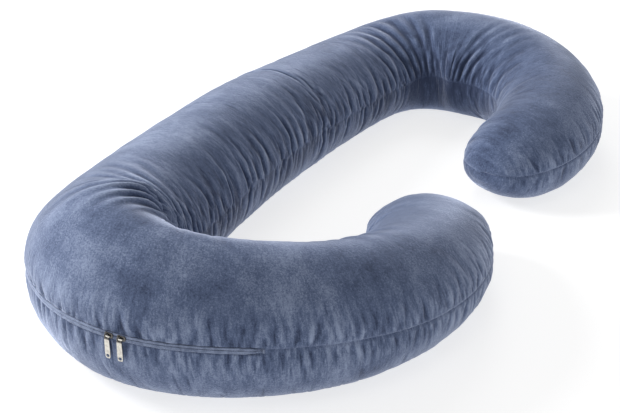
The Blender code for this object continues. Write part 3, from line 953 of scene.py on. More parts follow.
@dataclass(frozen=True)
class Velvet:
    """Short-pile slate blue velvet whose nap lies in patches and streaks, with painted
    shade in its creases, on the inner faces of the C and on the far arm, and painted
    highlights on its ridges.
    """

    name: str = "velvet_slate_blue"
    deep: Colour = (0.032, 0.045, 0.090)
    body: Colour = (0.090, 0.123, 0.218)
    bloom: Colour = (0.270, 0.325, 0.465)
    roughness: float = 0.90
    sheen: float = 1.0
    sheen_roughness: float = 0.34
    cloud_scale: float = 6.5
    patch_scale: float = 22.0
    mottle_scale: float = 340.0
    pile_scale: float = 620.0
    fuzz_scale: float = 1500.0
    brush_scales: tuple[float, float, float] = (120.0, 20.0, 1.0)
    stroke_scales: tuple[float, float, float] = (300.0, 70.0, 1.0)
    cloud_share: float = 0.27
    brushed_share: float = 0.27
    stroke_share: float = 0.18
    mottle_share: float = 0.08
    pile_share: float = 0.20
    # The last four numbers paint light and shade into the colour: shade in the creases and
    # highlights on the ridges, shade on the inner faces of the C, and a little shade on the
    # far arm.
    fold_shade_middle: float = 0.46
    fold_shade_strength: float = 0.20
    inner_face_shade_strength: float = 0.09
    far_arm_shade: float = 0.026

    def material(self) -> bpy.types.Material:
        """Builds the finish and returns its material."""
        graph = Graph(self.name)
        place, cloth = graph.place(), graph.cloth_place()
        clouds = graph.noise(place, self.cloud_scale, 4.0, 0.6, 0.5)
        patches = graph.noise(place, self.patch_scale, 4.0, 0.58, 0.3)
        mottle = graph.noise(place, self.mottle_scale, 3.0, 0.60, 0.2)
        brushed = graph.noise(graph.scaled(cloth, self.brush_scales), 1.0, 5.0, 0.65, 1.0)
        strokes = graph.noise(graph.scaled(cloth, self.stroke_scales), 1.0, 4.0, 0.6, 0.8)
        pile = graph.noise(place, self.pile_scale, 2.0, 0.7)
        fold_shade, gathered = graph.attribute("fold_shade"), graph.attribute("gathered")
        inner_face_shade = graph.attribute("inner_face_shade")
        # Painted shade: 0 on the near arm, rising to 1 on the far arm.
        far = graph.northing(place).band(0.05, 0.50)
        brushed = patches + (brushed - patches) * gathered
        strokes = mottle + (strokes - mottle) * gathered
        nap = clouds * self.cloud_share + brushed * self.brushed_share
        nap = nap + strokes * self.stroke_share + mottle * self.mottle_share
        nap = nap + pile * self.pile_share
        # Painted shade in the creases and painted highlights on the ridges.
        proud = (fold_shade - self.fold_shade_middle) * self.fold_shade_strength
        # Painted shade on the faces inside the C, and a little on the far arm.
        lift = nap + proud - inner_face_shade * self.inner_face_shade_strength - far * self.far_arm_shade
        dark = graph.mix(lift.band(0.37, 0.50), self.deep, self.body)
        colour = graph.mix(lift.band(0.465, 0.64), dark, self.bloom)
        fuzz = pile * 0.6 + graph.noise(place, self.fuzz_scale, 2.0, 0.6) * 0.4
        streaks = brushed * 0.35 + strokes * 0.35 + mottle * 0.3
        coarse = graph.bump(streaks, 0.85, 2.0 * MM)
        graph.set(
            Base_Color=colour,
            Roughness=(1 - pile) * 0.10 + (self.roughness - 0.05),
            Normal=graph.bump(fuzz, 0.30, 0.5 * MM, coarse),
            Sheen_Weight=self.sheen,
            Sheen_Roughness=self.sheen_roughness,
            Sheen_Tint=(*SHEEN_TINT, 1.0),
            Specular_IOR_Level=0.25,
        )
        return graph.material


@dataclass(frozen=True)
class ZipCloth:
    """The same velvet folded tight beside the zip, its pile pressed flat, and painted
    lighter than the cover's velvet as painted light on the lips.
    """

    name: str = "zip_edge_cloth"
    # Painted light: both colours lighter than the cover's velvet.
    deep: Colour = (0.100, 0.130, 0.215)
    body: Colour = (0.215, 0.262, 0.385)
    sheen: float = 1.0

    def material(self) -> bpy.types.Material:
        """Builds the finish and returns its material."""
        graph = Graph(self.name)
        place = graph.place()
        nap = graph.noise(place, 90.0, 5.0, 0.65, 0.6)
        pile = graph.noise(place, 900.0, 2.0, 0.7)
        lift = nap * 0.65 + pile * 0.35
        graph.set(
            Base_Color=graph.mix(lift.band(0.38, 0.58), self.deep, self.body),
            Roughness=(1 - pile) * 0.12 + 0.80,
            Normal=graph.bump(lift, 0.35, 0.6 * MM),
            Sheen_Weight=self.sheen,
            Sheen_Roughness=0.34,
            Sheen_Tint=(*SHEEN_TINT, 1.0),
        )
        return graph.material


@dataclass(frozen=True)
class Thread:
    """Twisted sewing thread, a shade lighter than the cloth."""

    name: str = "sewing_thread"
    deep: Colour = (0.110, 0.140, 0.225)
    body: Colour = (0.270, 0.320, 0.450)
    pitch: float = 1800.0

    def material(self) -> bpy.types.Material:
        """Builds the finish and returns its material."""
        graph = Graph(self.name)
        place = graph.place()
        twist = graph.noise(graph.scaled(place, (1.0, 1.0, 2.2)), self.pitch, 3.0, 0.6)
        fluff = graph.noise(place, 700.0, 3.0, 0.7)
        graph.set(
            Base_Color=graph.mix(twist.band(0.38, 0.62), self.deep, self.body),
            Roughness=fluff * 0.20 + 0.50,
            Normal=graph.bump(twist * 0.6 + fluff * 0.4, 0.5, 0.15 * MM),
            Sheen_Weight=0.3,
            Sheen_Roughness=0.4,
        )
        return graph.material


@dataclass(frozen=True)
class Nickel:
    """Satin nickel, rubbed bright by fingers, with painted shade and tarnish below the
    slider's bridge top and at the tab's hinge.
    """

    name: str = "satin_nickel"
    bright: Colour = (0.70, 0.68, 0.62)
    dull: Colour = (0.48, 0.46, 0.42)
    tarnished_and_shaded: Colour = (0.12, 0.115, 0.11)

    def material(self) -> bpy.types.Material:
        """Builds the finish and returns its material."""
        graph = Graph(self.name)
        place = graph.place()
        wear = graph.noise(place, 260.0, 5.0, 0.65)
        scuffs = graph.noise(graph.scaled(place, (300.0, 300.0, 2500.0)), 1.0, 3.0, 0.6)
        # Painted shade and tarnish from the pieces' own values, broken up by the wear.
        tarnish_and_shade = graph.attribute("tarnish_and_shade") + (wear - 0.5) * 0.5
        rubbed = graph.mix(wear.band(0.30, 0.62), self.dull, self.bright)
        graph.set(
            Base_Color=graph.mix(tarnish_and_shade.band(0.25, 0.75), rubbed, self.tarnished_and_shaded),
            Roughness=wear * 0.20 + scuffs * 0.16 + 0.14,
            Metallic=1.0,
            Normal=graph.bump(wear * 0.5 + scuffs * 0.5, 0.12, 0.1 * MM),
        )
        return graph.material


@dataclass(frozen=True)
class Paper:
    """A plain pale studio floor."""

    name: str = "studio_floor"
    colour: Colour = (0.42, 0.42, 0.42)
    glow: float = 0.72

    def material(self) -> bpy.types.Material:
        """Builds the finish and returns its material."""
        graph = Graph(self.name)
        graph.set(
            Base_Color=(*self.colour, 1.0),
            Roughness=0.9,
            Emission_Color=(1.0, 1.0, 1.0, 1.0),
            Emission_Strength=self.glow,
        )
        return graph.material


# ---------------------------------------------------------------- the pieces


def linked(name: str, mesh: bpy.types.Mesh, finish: bpy.types.Material) -> bpy.types.Object:
    """A new object in the scene with its one material."""
    piece = bpy.data.objects.new(name, mesh)
    bpy.context.scene.collection.objects.link(piece)
    mesh.materials.clear()
    mesh.materials.append(finish)
    return piece


def finished(
    name: str,
    bm: bmesh.types.BMesh,
    finish: bpy.types.Material,
    sharp_degrees: Optional[float] = None,
) -> bpy.types.Object:
    """Turns a piece's working mesh into its smooth-shaded object.

    Args:
        name: The piece's name.
        bm: The working mesh, freed here.
        finish: The piece's material.
        sharp_degrees: The angle above which an edge stays sharp, if any does.

    Returns:
        The piece's object.
    """
    mesh = bpy.data.meshes.new(name)
    bm.to_mesh(mesh)
    bm.free()
    mesh.shade_smooth()
    if sharp_degrees is not None:
        mesh.set_sharp_from_angle(angle=math.radians(sharp_degrees))
    return linked(name, mesh, finish)


def declare(piece: bpy.types.Object, node: Optional[str] = None) -> None:
    """Tells the frame what a piece rides on and stands for.

    Args:
        piece: The finished piece.
        node: The CAD part that it replaces, if it replaces one.
    """
    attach(piece, "root")
    if node:
        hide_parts(node)
    LOG.info("%s: %d faces", piece.name, len(piece.data.polygons))


def mesh_points(mesh: bpy.types.Mesh) -> np.ndarray:
    """The places of a mesh's points."""
    flat = np.empty(len(mesh.vertices) * 3, np.float32)
    mesh.vertices.foreach_get("co", flat)
    return flat.reshape(-1, 3)


@dataclass
class RolledSheet:
    """A flat grid rolled into a tube, whose two long edges lie on one line."""

    name: str
    points: np.ndarray

    def __post_init__(self) -> None:
        """Makes the grid and notes each point's ring and column."""
        rings, columns = self.points.shape[:2]
        bm = bmesh.new()
        bmesh.ops.create_grid(bm, x_segments=columns, y_segments=rings - 1, size=1.0)
        self.mesh = bpy.data.meshes.new(self.name)
        bm.to_mesh(self.mesh)
        bm.free()
        flat = mesh_points(self.mesh)
        self.column = np.rint((flat[:, 0] + 1) / 2 * columns).astype(int)
        self.ring = np.rint((flat[:, 1] + 1) / 2 * (rings - 1)).astype(int)
        rolled = self.pick(self.points).astype(np.float32)
        self.mesh.vertices.foreach_set("co", rolled.ravel())
        self.mesh.update()

    def pick(self, values: np.ndarray) -> np.ndarray:
        """The value of each of the mesh's points, from one for each ring and column."""
        return values[self.ring, self.column % self.points.shape[1]]

    def as_grid(self, values: np.ndarray) -> np.ndarray:
        """Puts one value for each point back into rings and columns."""
        first = self.column < self.points.shape[1]
        grid = np.empty(self.points.shape[:2] + values.shape[1:])
        grid[self.ring[first], self.column[first]] = values[first]
        return grid

    def sewn(self, finish: bpy.types.Material) -> bpy.types.Object:
        """Welds the roll's two edges and its tips, and closes its open ends.

        Args:
            finish: The piece's material.

        Returns:
            The piece's object, its faces outward.
        """
        bm = bmesh.new()
        bm.from_mesh(self.mesh)
        bmesh.ops.remove_doubles(bm, verts=bm.verts, dist=0.01 * MM)
        bmesh.ops.holes_fill(bm, edges=[edge for edge in bm.edges if edge.is_boundary])
        bmesh.ops.recalc_face_normals(bm, faces=bm.faces)
        bm.to_mesh(self.mesh)
        bm.free()
        self.mesh.shade_smooth()
        return linked(self.name, self.mesh, finish)


def smoothed(values: np.ndarray, steps: float, axis: int, closed: bool) -> np.ndarray:
    """Values blurred along one axis.

    Args:
        values: The values.
        steps: The blur's reach, in steps of the axis.
        axis: The axis to blur along.
        closed: Whether the axis closes on itself.

    Returns:
        The blurred values.
    """
    reach = int(2.5 * steps) + 1
    count = values.shape[axis]
    total, weight = np.zeros_like(values), 0.0
    for shift in range(-reach, reach + 1):
        share = math.exp(-((shift / steps) ** 2))
        index = np.arange(count) + shift
        index = index % count if closed else np.clip(index, 0, count - 1)
        total += share * np.take(values, index, axis=axis)
        weight += share
    return total / weight


@dataclass
class Stuffing:
    """Wrinkles the cover with a short cloth simulation.

    The cloth is pinned along its outer seam, at the floor, at the far turn's inner seam
    and at its ends. It is cut a little larger than the form and blown up from inside.
    The broad swelling is taken off again, so that only the wrinkles stay.
    """

    growth: float = 0.10
    pressure: float = 10.0
    mass: float = 0.1
    stiffness: float = 12.0
    shear: float = 4.0
    bending: float = 0.001
    damping: float = 2.0
    quality: int = 4
    frames: int = 12
    seed_share: float = 0.35
    crown_columns: int = 34
    belly_columns: int = 24
    margin: float = 5.5
    cap: float = 6 * MM
    broad: float = 22 * MM
    broad_kept: float = 0.15
    tip_fullness: float = 0.25
    tip_fade: float = 0.35
    floor_fade: float = 12 * MM
    pinned_end_rings: int = 4
    far_seam_pinned_from: float = 0.50
    weight_steps: int = 50
    spare_everywhere: float = 0.12
    spare_in_turns: float = 0.22
    spare_at_outer_seam: float = 0.30
    spare_at_inner_seam: float = 0.40
    outer_reach: float = 45 * MM
    inner_reach: float = 85 * MM
    full_turning: float = 5.0
    far_turn_calm: float = 0.40

    def displacements(self, form: CoverForm, folds: Folds) -> np.ndarray:
        """How far the simulation moves each of the form's points.

        Args:
            form: The cover's form.
            folds: The folds that the wrinkles start from.

        Returns:
            A vector for each ring and column of the form.
        """
        coarse = CoverForm(
            ring_spacing=form.ring_spacing,
            end_rings=form.end_rings,
            crown_columns=self.crown_columns,
            belly_columns=self.belly_columns,
            crown_margins=(self.margin,),
            belly_margins=(self.margin,),
        )
        kept = np.flatnonzero(coarse.full > self.tip_fullness)
        rows = slice(kept[0], kept[-1] + 1)
        moved = np.zeros_like(coarse.base)
        moved[rows] = self._wrinkles(self._simulate(coarse, folds, rows), coarse, rows)
        return self._onto(form, coarse, moved)

    def _simulate(self, form: CoverForm, folds: Folds, rows: slice) -> np.ndarray:
        """Runs the simulation and returns where the coarse points go."""
        base = form.base[rows]
        seeds = self.seed_share * folds.offsets(form)[rows]
        pinned = form.on_floor[rows].copy()
        pinned[:, 0] = True
        far_turn = form.place[rows] > self.far_seam_pinned_from
        pinned[far_turn, form.inner_column] = True
        ends = self.pinned_end_rings
        pinned[:ends] = pinned[-ends:] = True
        seeds[pinned] = 0.0
        start = base + form.normals(form.base)[rows] * seeds[:, :, None]
        sheet = RolledSheet("stuffing", start)
        piece = bpy.data.objects.new("stuffing", sheet.mesh)
        scene = bpy.context.scene
        scene.collection.objects.link(piece)
        self._weigh(piece, "pinned", sheet.pick(pinned.astype(float)))
        self._weigh(piece, "held", sheet.pick(1 - self._growth_share(form)[rows]))
        modifier = piece.modifiers.new("stuffing", "CLOTH")
        self._set_up(modifier)
        for frame_number in range(1, self.frames + 1):
            scene.frame_set(frame_number)
        done = piece.evaluated_get(bpy.context.evaluated_depsgraph_get())
        result = sheet.as_grid(mesh_points(done.data).astype(float))
        scene.frame_set(1)
        bpy.data.objects.remove(piece)
        bpy.data.meshes.remove(sheet.mesh)
        return result - base

    def _set_up(self, modifier: bpy.types.ClothModifier) -> None:
        """Sets the cloth's own numbers."""
        cloth = modifier.settings
        cloth.quality, cloth.mass = self.quality, self.mass
        cloth.tension_stiffness = cloth.compression_stiffness = self.stiffness
        cloth.shear_stiffness, cloth.bending_stiffness = self.shear, self.bending
        cloth.tension_damping = cloth.compression_damping = self.damping
        cloth.shear_damping = self.damping
        cloth.use_pressure = True
        cloth.uniform_pressure_force = self.pressure
        cloth.vertex_group_mass = "pinned"
        cloth.shrink_max, cloth.shrink_min = 0.0, -self.growth
        cloth.vertex_group_shrink = "held"
        cloth.effector_weights.gravity = 0.0
        modifier.collision_settings.use_collision = False
        modifier.point_cache.frame_start = 1
        modifier.point_cache.frame_end = self.frames

    def _weigh(self, piece: bpy.types.Object, name: str, weights: np.ndarray) -> None:
        """Gives the piece's points their weights in a new group."""
        group = piece.vertex_groups.new(name=name)
        steps = np.rint(np.clip(weights, 0.0, 1.0) * self.weight_steps).astype(int)
        for step in np.unique(steps[steps > 0]):
            points = np.flatnonzero(steps == step).tolist()
            group.add(points, step / self.weight_steps, "REPLACE")

    def _growth_share(self, form: CoverForm) -> np.ndarray:
        """Where the cloth has the most to spare, from 0 to 1."""
        place = np.abs(form.place)
        turning = np.where(form.is_far, form.far.turning(place), form.near.turning(place))
        turn = np.clip(turning / self.full_turning, 0.0, 1.0)[:, None]
        hook = eased((place - 0.85) / 0.15)[:, None]
        by_outer = bell(form.from_outer, self.outer_reach)
        by_inner = bell(form.from_inner, self.inner_reach) * (1 - 0.5 * hook)
        share = self.spare_everywhere * (1 - 0.5 * hook)
        share = share + self.spare_in_turns * turn * (1 - 0.6 * hook)
        share = share + self.spare_at_outer_seam * by_outer
        share = share + self.spare_at_inner_seam * by_inner
        far_turn = eased((form.place - 0.42) / 0.10)[:, None]
        return np.clip(share * (1 - self.far_turn_calm * far_turn), 0.0, 1.0)

    def _wrinkles(self, moved: np.ndarray, form: CoverForm, rows: slice) -> np.ndarray:
        """Takes the broad swelling off the moves and caps what stays."""
        around = float(np.median(form.whole[:, 0])) / form.crown_columns
        broad = smoothed(moved, self.broad / form.ring_spacing, 0, False)
        broad = smoothed(broad, self.broad / around, 1, True)
        fine = moved - (1 - self.broad_kept) * broad
        fade = eased((form.full[rows] - self.tip_fullness) / self.tip_fade)[:, None]
        fade = fade * eased(form.base[rows][:, :, 2] / self.floor_fade)
        length = np.linalg.norm(fine, axis=2)
        held = self.cap * np.tanh(length / self.cap) / np.maximum(length, 1e-9)
        return fine * (held * fade)[:, :, None]

    def _onto(self, form: CoverForm, coarse: CoverForm, moved: np.ndarray) -> np.ndarray:
        """Reads the coarse columns' moves at the form's own columns."""
        result = np.zeros_like(form.base)
        for ring in range(len(form.base)):
            seat = self._seats(coarse, ring)
            wanted = self._seats(form, ring)[:-1]
            for axis in range(3):
                row = np.append(moved[ring, :, axis], moved[ring, 0, axis])
                result[ring, :, axis] = np.interp(wanted, seat, row)
        return result

    def _seats(self, form: CoverForm, ring: int) -> np.ndarray:
        """Each column's place round the tube: 0 to 1 above, and 1 to 2 below."""
        share = form.from_outer[ring] / np.maximum(form.whole[ring], 1e-9)
        upper = np.arange(form.columns) <= form.inner_column
        return np.append(np.where(upper, share, 2 - share), 2.0)


@dataclass
class Cover:
    """The filled velvet cover: a grid rolled round the form and sewn shut."""

    form: CoverForm
    folds: Folds
    stuffing: Stuffing
    tacks: tuple[float, float]
    folds_kept: float = 0.30
    gather_kept: float = 0.60
    recess_depth: float = 2.0 * MM
    recess_past: float = 6.5 * MM
    recess_above: float = 4.3 * MM
    recess_below: float = 5.9 * MM
    recess_easing: float = 5.0 * MM
    seam_calm: float = 9 * MM
    flush_reach: float = 30 * MM
    # The relief that gives the full painted shade in a crease and the full painted
    # highlight on a ridge.
    fold_shade_relief: float = 4 * MM
    name: str = "velvet_cover"

    def points(self) -> tuple[np.ndarray, np.ndarray]:
        """The cover's points and how far each stands proud of the smooth form."""
        form = self.form
        gather = bell(-form.place - 0.55, 0.11)[:, None] * bell(form.from_inner, 0.15)
        kept = self.folds_kept + self.gather_kept * gather
        share = kept
        offsets = share * self.folds.offsets(form)
        seams = self.folds.seam_offsets(form)
        normals = form.normals(form.base)
        wrinkles = np.zeros_like(form.base)
        wrinkles = self.stuffing.displacements(form, self.folds)
        wrinkles *= eased(form.from_outer / self.seam_calm)[:, :, None]
        recess = self._recess()
        wrinkles *= (1 - recess)[:, :, None]
        seams *= 1 - bell(form.from_outer, self.flush_reach) * self._zipped()[:, None]
        proud = offsets + (wrinkles * normals).sum(axis=2)
        offsets = (offsets + seams) * (1 - recess) - self.recess_depth * recess
        moved = form.base + wrinkles + normals * offsets[:, :, None]
        moved[:, :, 2] = np.maximum(moved[:, :, 2], 0.0)
        moved[form.on_floor] = form.base[form.on_floor]
        return moved, proud

    def _zipped(self) -> np.ndarray:
        """1 for the rings that the zip crosses."""
        place = -self.form.place
        low, high = self.tacks[0] - self.recess_past, self.tacks[1] + self.recess_past
        easing = self.recess_easing
        return eased((place - low) / easing) * eased((high - place) / easing)

    def _recess(self) -> np.ndarray:
        """1 on the seam's flanks along the zip, where the folded lips lie."""
        form = self.form
        upper = np.zeros(form.columns, bool)
        upper[: form.inner_column] = True
        edge = np.where(upper[None, :], self.recess_above, self.recess_below)
        inside = form.from_outer < edge + 0.05 * MM
        inside &= form.from_outer < 0.5 * form.whole
        return inside * self._zipped()[:, None]

    def build(self, finish: bpy.types.Material) -> bpy.types.Object:
        """Makes the cover.

        Args:
            finish: The velvet.

        Returns:
            The cover's object.
        """
        points, offsets = self.points()
        sheet = RolledSheet(self.name, points)
        self._add_cloth_map(sheet)
        self._add_shade_and_gather_maps(sheet, offsets)
        return sheet.sewn(finish)

    def _add_cloth_map(self, sheet: RolledSheet) -> None:
        """Maps the cloth in metres, along the outer seam and round the tube."""
        form = self.form
        run = form.seam_run(Seam.OUTER)
        under = form.whole[:, :1] + form.from_inner
        upper = np.arange(form.columns) <= form.inner_column
        around = np.where(upper[None, :], form.from_outer, under)
        closing = form.whole[:, 0] + form.whole[:, -1]
        around = np.hstack([around, closing[:, None]])
        loops = np.empty(len(sheet.mesh.loops), np.int32)
        sheet.mesh.loops.foreach_get("vertex_index", loops)
        u, v = run[sheet.ring][loops], around[sheet.ring, sheet.column][loops]
        layer = sheet.mesh.uv_layers.new(name="cloth")
        layer.data.foreach_set("uv", np.stack([u, v], axis=1).astype(np.float32).ravel())

    def _add_shade_and_gather_maps(self, sheet: RolledSheet, offsets: np.ndarray) -> None:
        """Keeps how proud and how gathered the cloth is, and where it faces inward, for the
        velvet's painted shade in creases and on inner faces and its painted highlights on
        ridges.
        """
        near = smoothed(offsets, 5.0, 0, False)
        proud = offsets - smoothed(near, 1.5, 1, True)
        # Painted shade and highlight: 0 deep in a crease, 1 high on a ridge.
        fold_shade = 0.5 + np.clip(proud / self.fold_shade_relief, -0.5, 0.5)
        form = self.form
        close = np.maximum(bell(form.from_outer, 0.06), bell(form.from_inner, 0.15))
        gathered = eased(form.full / 0.9)[:, None] * (0.15 + 0.85 * close)
        lower = np.arange(form.columns)[None, :] > form.inner_column
        # Painted shade on the faces inside the C, strongest on the lower panel.
        inner_face_shade = np.where(lower, 1.0, 0.55) * bell(form.from_inner, 0.10)
        for name, values in (("fold_shade", fold_shade), ("gathered", gathered), ("inner_face_shade", inner_face_shade)):
            layer = sheet.mesh.attributes.new(name, "FLOAT", "POINT")
            layer.data.foreach_set("value", sheet.pick(values).astype(np.float32))


def middle_of(node: bpy.types.Object) -> Vector:
    """The middle of a CAD part's box."""
    corners = [node.matrix_world @ Vector(corner) for corner in node.bound_box]
    return sum(corners, Vector()) / len(corners)


@dataclass
class ZipLine:
    """The zip's line in the outer seam of the near arm."""

    form: CoverForm
    recess: float = 2.0 * MM
    least: float = 0.20
    most: float = 0.86
    steps: int = 3000

    def __post_init__(self) -> None:
        """Lays out the recess floor's line, so that places on it can be found."""
        self.places = np.linspace(self.least, self.most, self.steps)
        self.line, self.outward = self.floor(self.places)

    def floor(self, place: np.ndarray) -> tuple[np.ndarray, np.ndarray]:
        """The recess floor at each place.

        Args:
            place: Places along the near arm.

        Returns:
            Points of the floor at the seam's height, and level outward directions.
        """
        arm = self.form.near
        point, outward = arm.station(place)
        half_width = arm.column("half_width", place) - self.recess
        seam_height = arm.seam_height(place)
        flat = point + outward * half_width[:, None]
        level = np.column_stack([outward, np.zeros(len(place))])
        return np.column_stack([flat, seam_height]), level

    def nearest(self, point: Vector) -> float:
        """The place on the zip that lies nearest to a point."""
        gaps = np.linalg.norm(self.line - np.array(point), axis=1)
        return float(self.places[int(np.argmin(gaps))])

    def axes(self, place: float) -> Matrix:
        """A frame on the floor: X along the zip, Y up, Z out of the pillow."""
        around = np.array([place - MM, place, place + MM])
        points, outward = self.floor(around)
        along = Vector(points[2] - points[0]).normalized()
        out = along.cross(Vector((0.0, 0.0, 1.0))).normalized()
        if out.dot(Vector(outward[1])) < 0:
            out.negate()
        up = out.cross(along)
        if up.z < 0:
            along.negate()
            up.negate()
        turn = Matrix((along, up, out)).transposed().to_4x4()
        return Matrix.Translation(Vector(points[1])) @ turn

    def tacks(self) -> tuple[float, float]:
        """The places of the two tacks of the CAD, the one on the back first."""
        nodes = (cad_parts["zip_tack_" + end] for end in ("spine", "near"))
        low, high = (self.nearest(middle_of(node)) for node in nodes)
        return low, high

    def seat(self, node: bpy.types.Object, half_height: float) -> Matrix:
        """The frame under a CAD part, at the height where the part begins.

        Args:
            node: The CAD part.
            half_height: Half of what the part measures out of the pillow.

        Returns:
            The frame, with its origin under the middle of the part.
        """
        middle = middle_of(node)
        axes = self.axes(self.nearest(middle))
        lift = (axes.inverted() @ middle).z - half_height
        return axes @ Matrix.Translation((0.0, 0.0, lift))


def ripple(run: np.ndarray, length: float, seed: int) -> np.ndarray:
    """An uneven wave along a line, between about -1 and 1."""
    rng = np.random.default_rng(seed)
    total = np.zeros_like(run)
    for _ in range(7):
        pace = 2 * math.pi / (length * varied(rng, 0.6, 0.9))
        total += np.sin(run * pace + 2 * math.pi * rng.random())
    return total / math.sqrt(7)


@dataclass
class Lip:
    """One folded edge of the cover beside the zip, lying in the recess."""

    name: str
    start: float
    edge: float
    seed: int
    span: tuple[float, float]
    thickness: float = 2.0 * MM
    clear: float = 0.3 * MM
    spacing: float = 1.5 * MM
    profile_points: int = 14
    roundness: float = 3.4
    unevenness: float = 0.04
    swell_length: float = 9 * MM
    drift: float = 0.12 * MM
    drift_length: float = 14 * MM
    end_slope: float = 6 * MM
    narrowing: float = 16 * MM

    def build(self, line: ZipLine, finish: bpy.types.Material) -> bpy.types.Object:
        """Makes the lip.

        Args:
            line: The zip's line.
            finish: The cloth.

        Returns:
            The lip's object.
        """
        low, high = self.span
        places = np.linspace(low, high, int((high - low) / self.spacing))
        floor, outward = line.floor(places)
        angle = np.arange(self.profile_points) * 2 * math.pi / self.profile_points
        power = 2 / self.roundness
        wide = np.sign(np.cos(angle)) * np.abs(np.cos(angle)) ** power
        tall = 0.5 + 0.5 * np.sign(np.sin(angle)) * np.abs(np.sin(angle)) ** power
        swell = 1 + self.unevenness * ripple(places, self.swell_length, self.seed)
        middle, half = (self.start + self.edge) / 2, abs(self.edge - self.start) / 2
        drift = self.drift * ripple(places, self.drift_length, self.seed + 1)
        ends = np.minimum(places - places[0], places[-1] - places)
        slim = (0.35 + 0.65 * eased(ends / self.end_slope))[:, None]
        narrow = (0.5 + 0.5 * eased((places[-1] - places) / self.narrowing))[:, None]
        up = narrow * (middle + drift[:, None] + half * wide[None, :] * swell[:, None])
        out = self.clear + self.thickness * tall[None, :] * swell[:, None] * slim
        points = floor[:, None, :] + outward[:, None, :] * out[:, :, None]
        points[:, :, 2] += up
        sheet = RolledSheet(self.name, points)
        return sheet.sewn(finish)


@dataclass
class Stitches:
    """A row of short stitches along a lip."""

    name: str
    lip: Lip
    inset: float = 1.0 * MM
    pitch: float = 2.9 * MM
    length: float = 2.1 * MM
    width: float = 0.50 * MM
    rise: float = 0.34 * MM
    sunk_share: float = 0.97
    lean: float = 0.10
    end_room: float = 3 * MM

    def build(self, line: ZipLine, finish: bpy.types.Material) -> bpy.types.Object:
        """Makes the row.

        Args:
            line: The zip's line.
            finish: The thread.

        Returns:
            The row's object.
        """
        lip = self.lip
        sign = math.copysign(1.0, lip.edge)
        up = lip.edge - sign * self.inset
        out = lip.clear + self.sunk_share * lip.thickness
        rng = np.random.default_rng(lip.seed)
        size = Matrix.Diagonal((self.length / 2, self.width / 2, self.rise / 2, 1.0))
        bm = bmesh.new()
        low, high = lip.span[0] + self.end_room, lip.span[1] - self.end_room
        for place in np.arange(low, high, self.pitch):
            lean = Matrix.Rotation(self.lean * float(rng.normal()), 4, "Z")
            seat = line.axes(float(place)) @ Matrix.Translation((0.0, up, out))
            bmesh.ops.create_icosphere(
                bm, subdivisions=1, radius=1.0, matrix=seat @ lean @ size
            )
        return finished(self.name, bm, finish)


@dataclass
class Tack:
    """A bar of close satin stitches across one end of the zip."""

    node_name: str
    name: str
    length: float = 6.6 * MM
    width: float = 2.8 * MM
    rise: float = 2.6 * MM
    thread: float = 0.55 * MM
    ridge_share: float = 0.07
    drop: float = 0.8 * MM
    sections: int = 65
    around: int = 16

    def build(self, line: ZipLine, finish: bpy.types.Material) -> bpy.types.Object:
        """Makes the bar on its CAD part's place.

        Args:
            line: The zip's line.
            finish: The thread.

        Returns:
            The bar's object.
        """
        seat = line.seat(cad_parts[self.node_name], self.rise / 2)
        along = np.linspace(-1.0, 1.0, self.sections)
        taper = (1 - np.abs(along) ** 6) ** (1 / 2.5) * 0.97 + 0.03
        turns = np.cos(along * math.pi * self.length / self.thread)
        ridges = 1 + self.ridge_share * turns
        angle = np.arange(self.around) * 2 * math.pi / self.around
        size = (taper * ridges)[:, None]
        x = 0.46 * self.width * np.cos(angle)[None, :] * size
        z = self.rise * (0.5 + 0.46 * np.sin(angle)[None, :] * size)
        y = np.repeat(0.48 * self.length * along[:, None], self.around, axis=1)
        local = np.stack([x, y - self.drop, z], axis=2)
        turn = np.array(seat.to_3x3())
        points = local @ turn.T + np.array(seat.translation)
        sheet = RolledSheet(self.name, points)
        return sheet.sewn(finish)


def rim_edges(bm: bmesh.types.BMesh, least_degrees: float) -> list[bmesh.types.BMEdge]:
    """The edges where two faces meet at more than an angle."""
    least = math.radians(least_degrees)
    return [
        edge
        for edge in bm.edges
        if edge.is_manifold and abs(edge.calc_face_angle(0.0)) > least
    ]


def soften(bm: bmesh.types.BMesh, radius: float, least_degrees: float = 50.0) -> None:
    """Rounds a piece's sharp edges."""
    bmesh.ops.bevel(
        bm,
        geom=rim_edges(bm, least_degrees),
        offset=radius,
        offset_type="OFFSET",
        segments=2,
        profile=0.5,
        affect="EDGES",
        clamp_overlap=True,
        material=-1,
    )


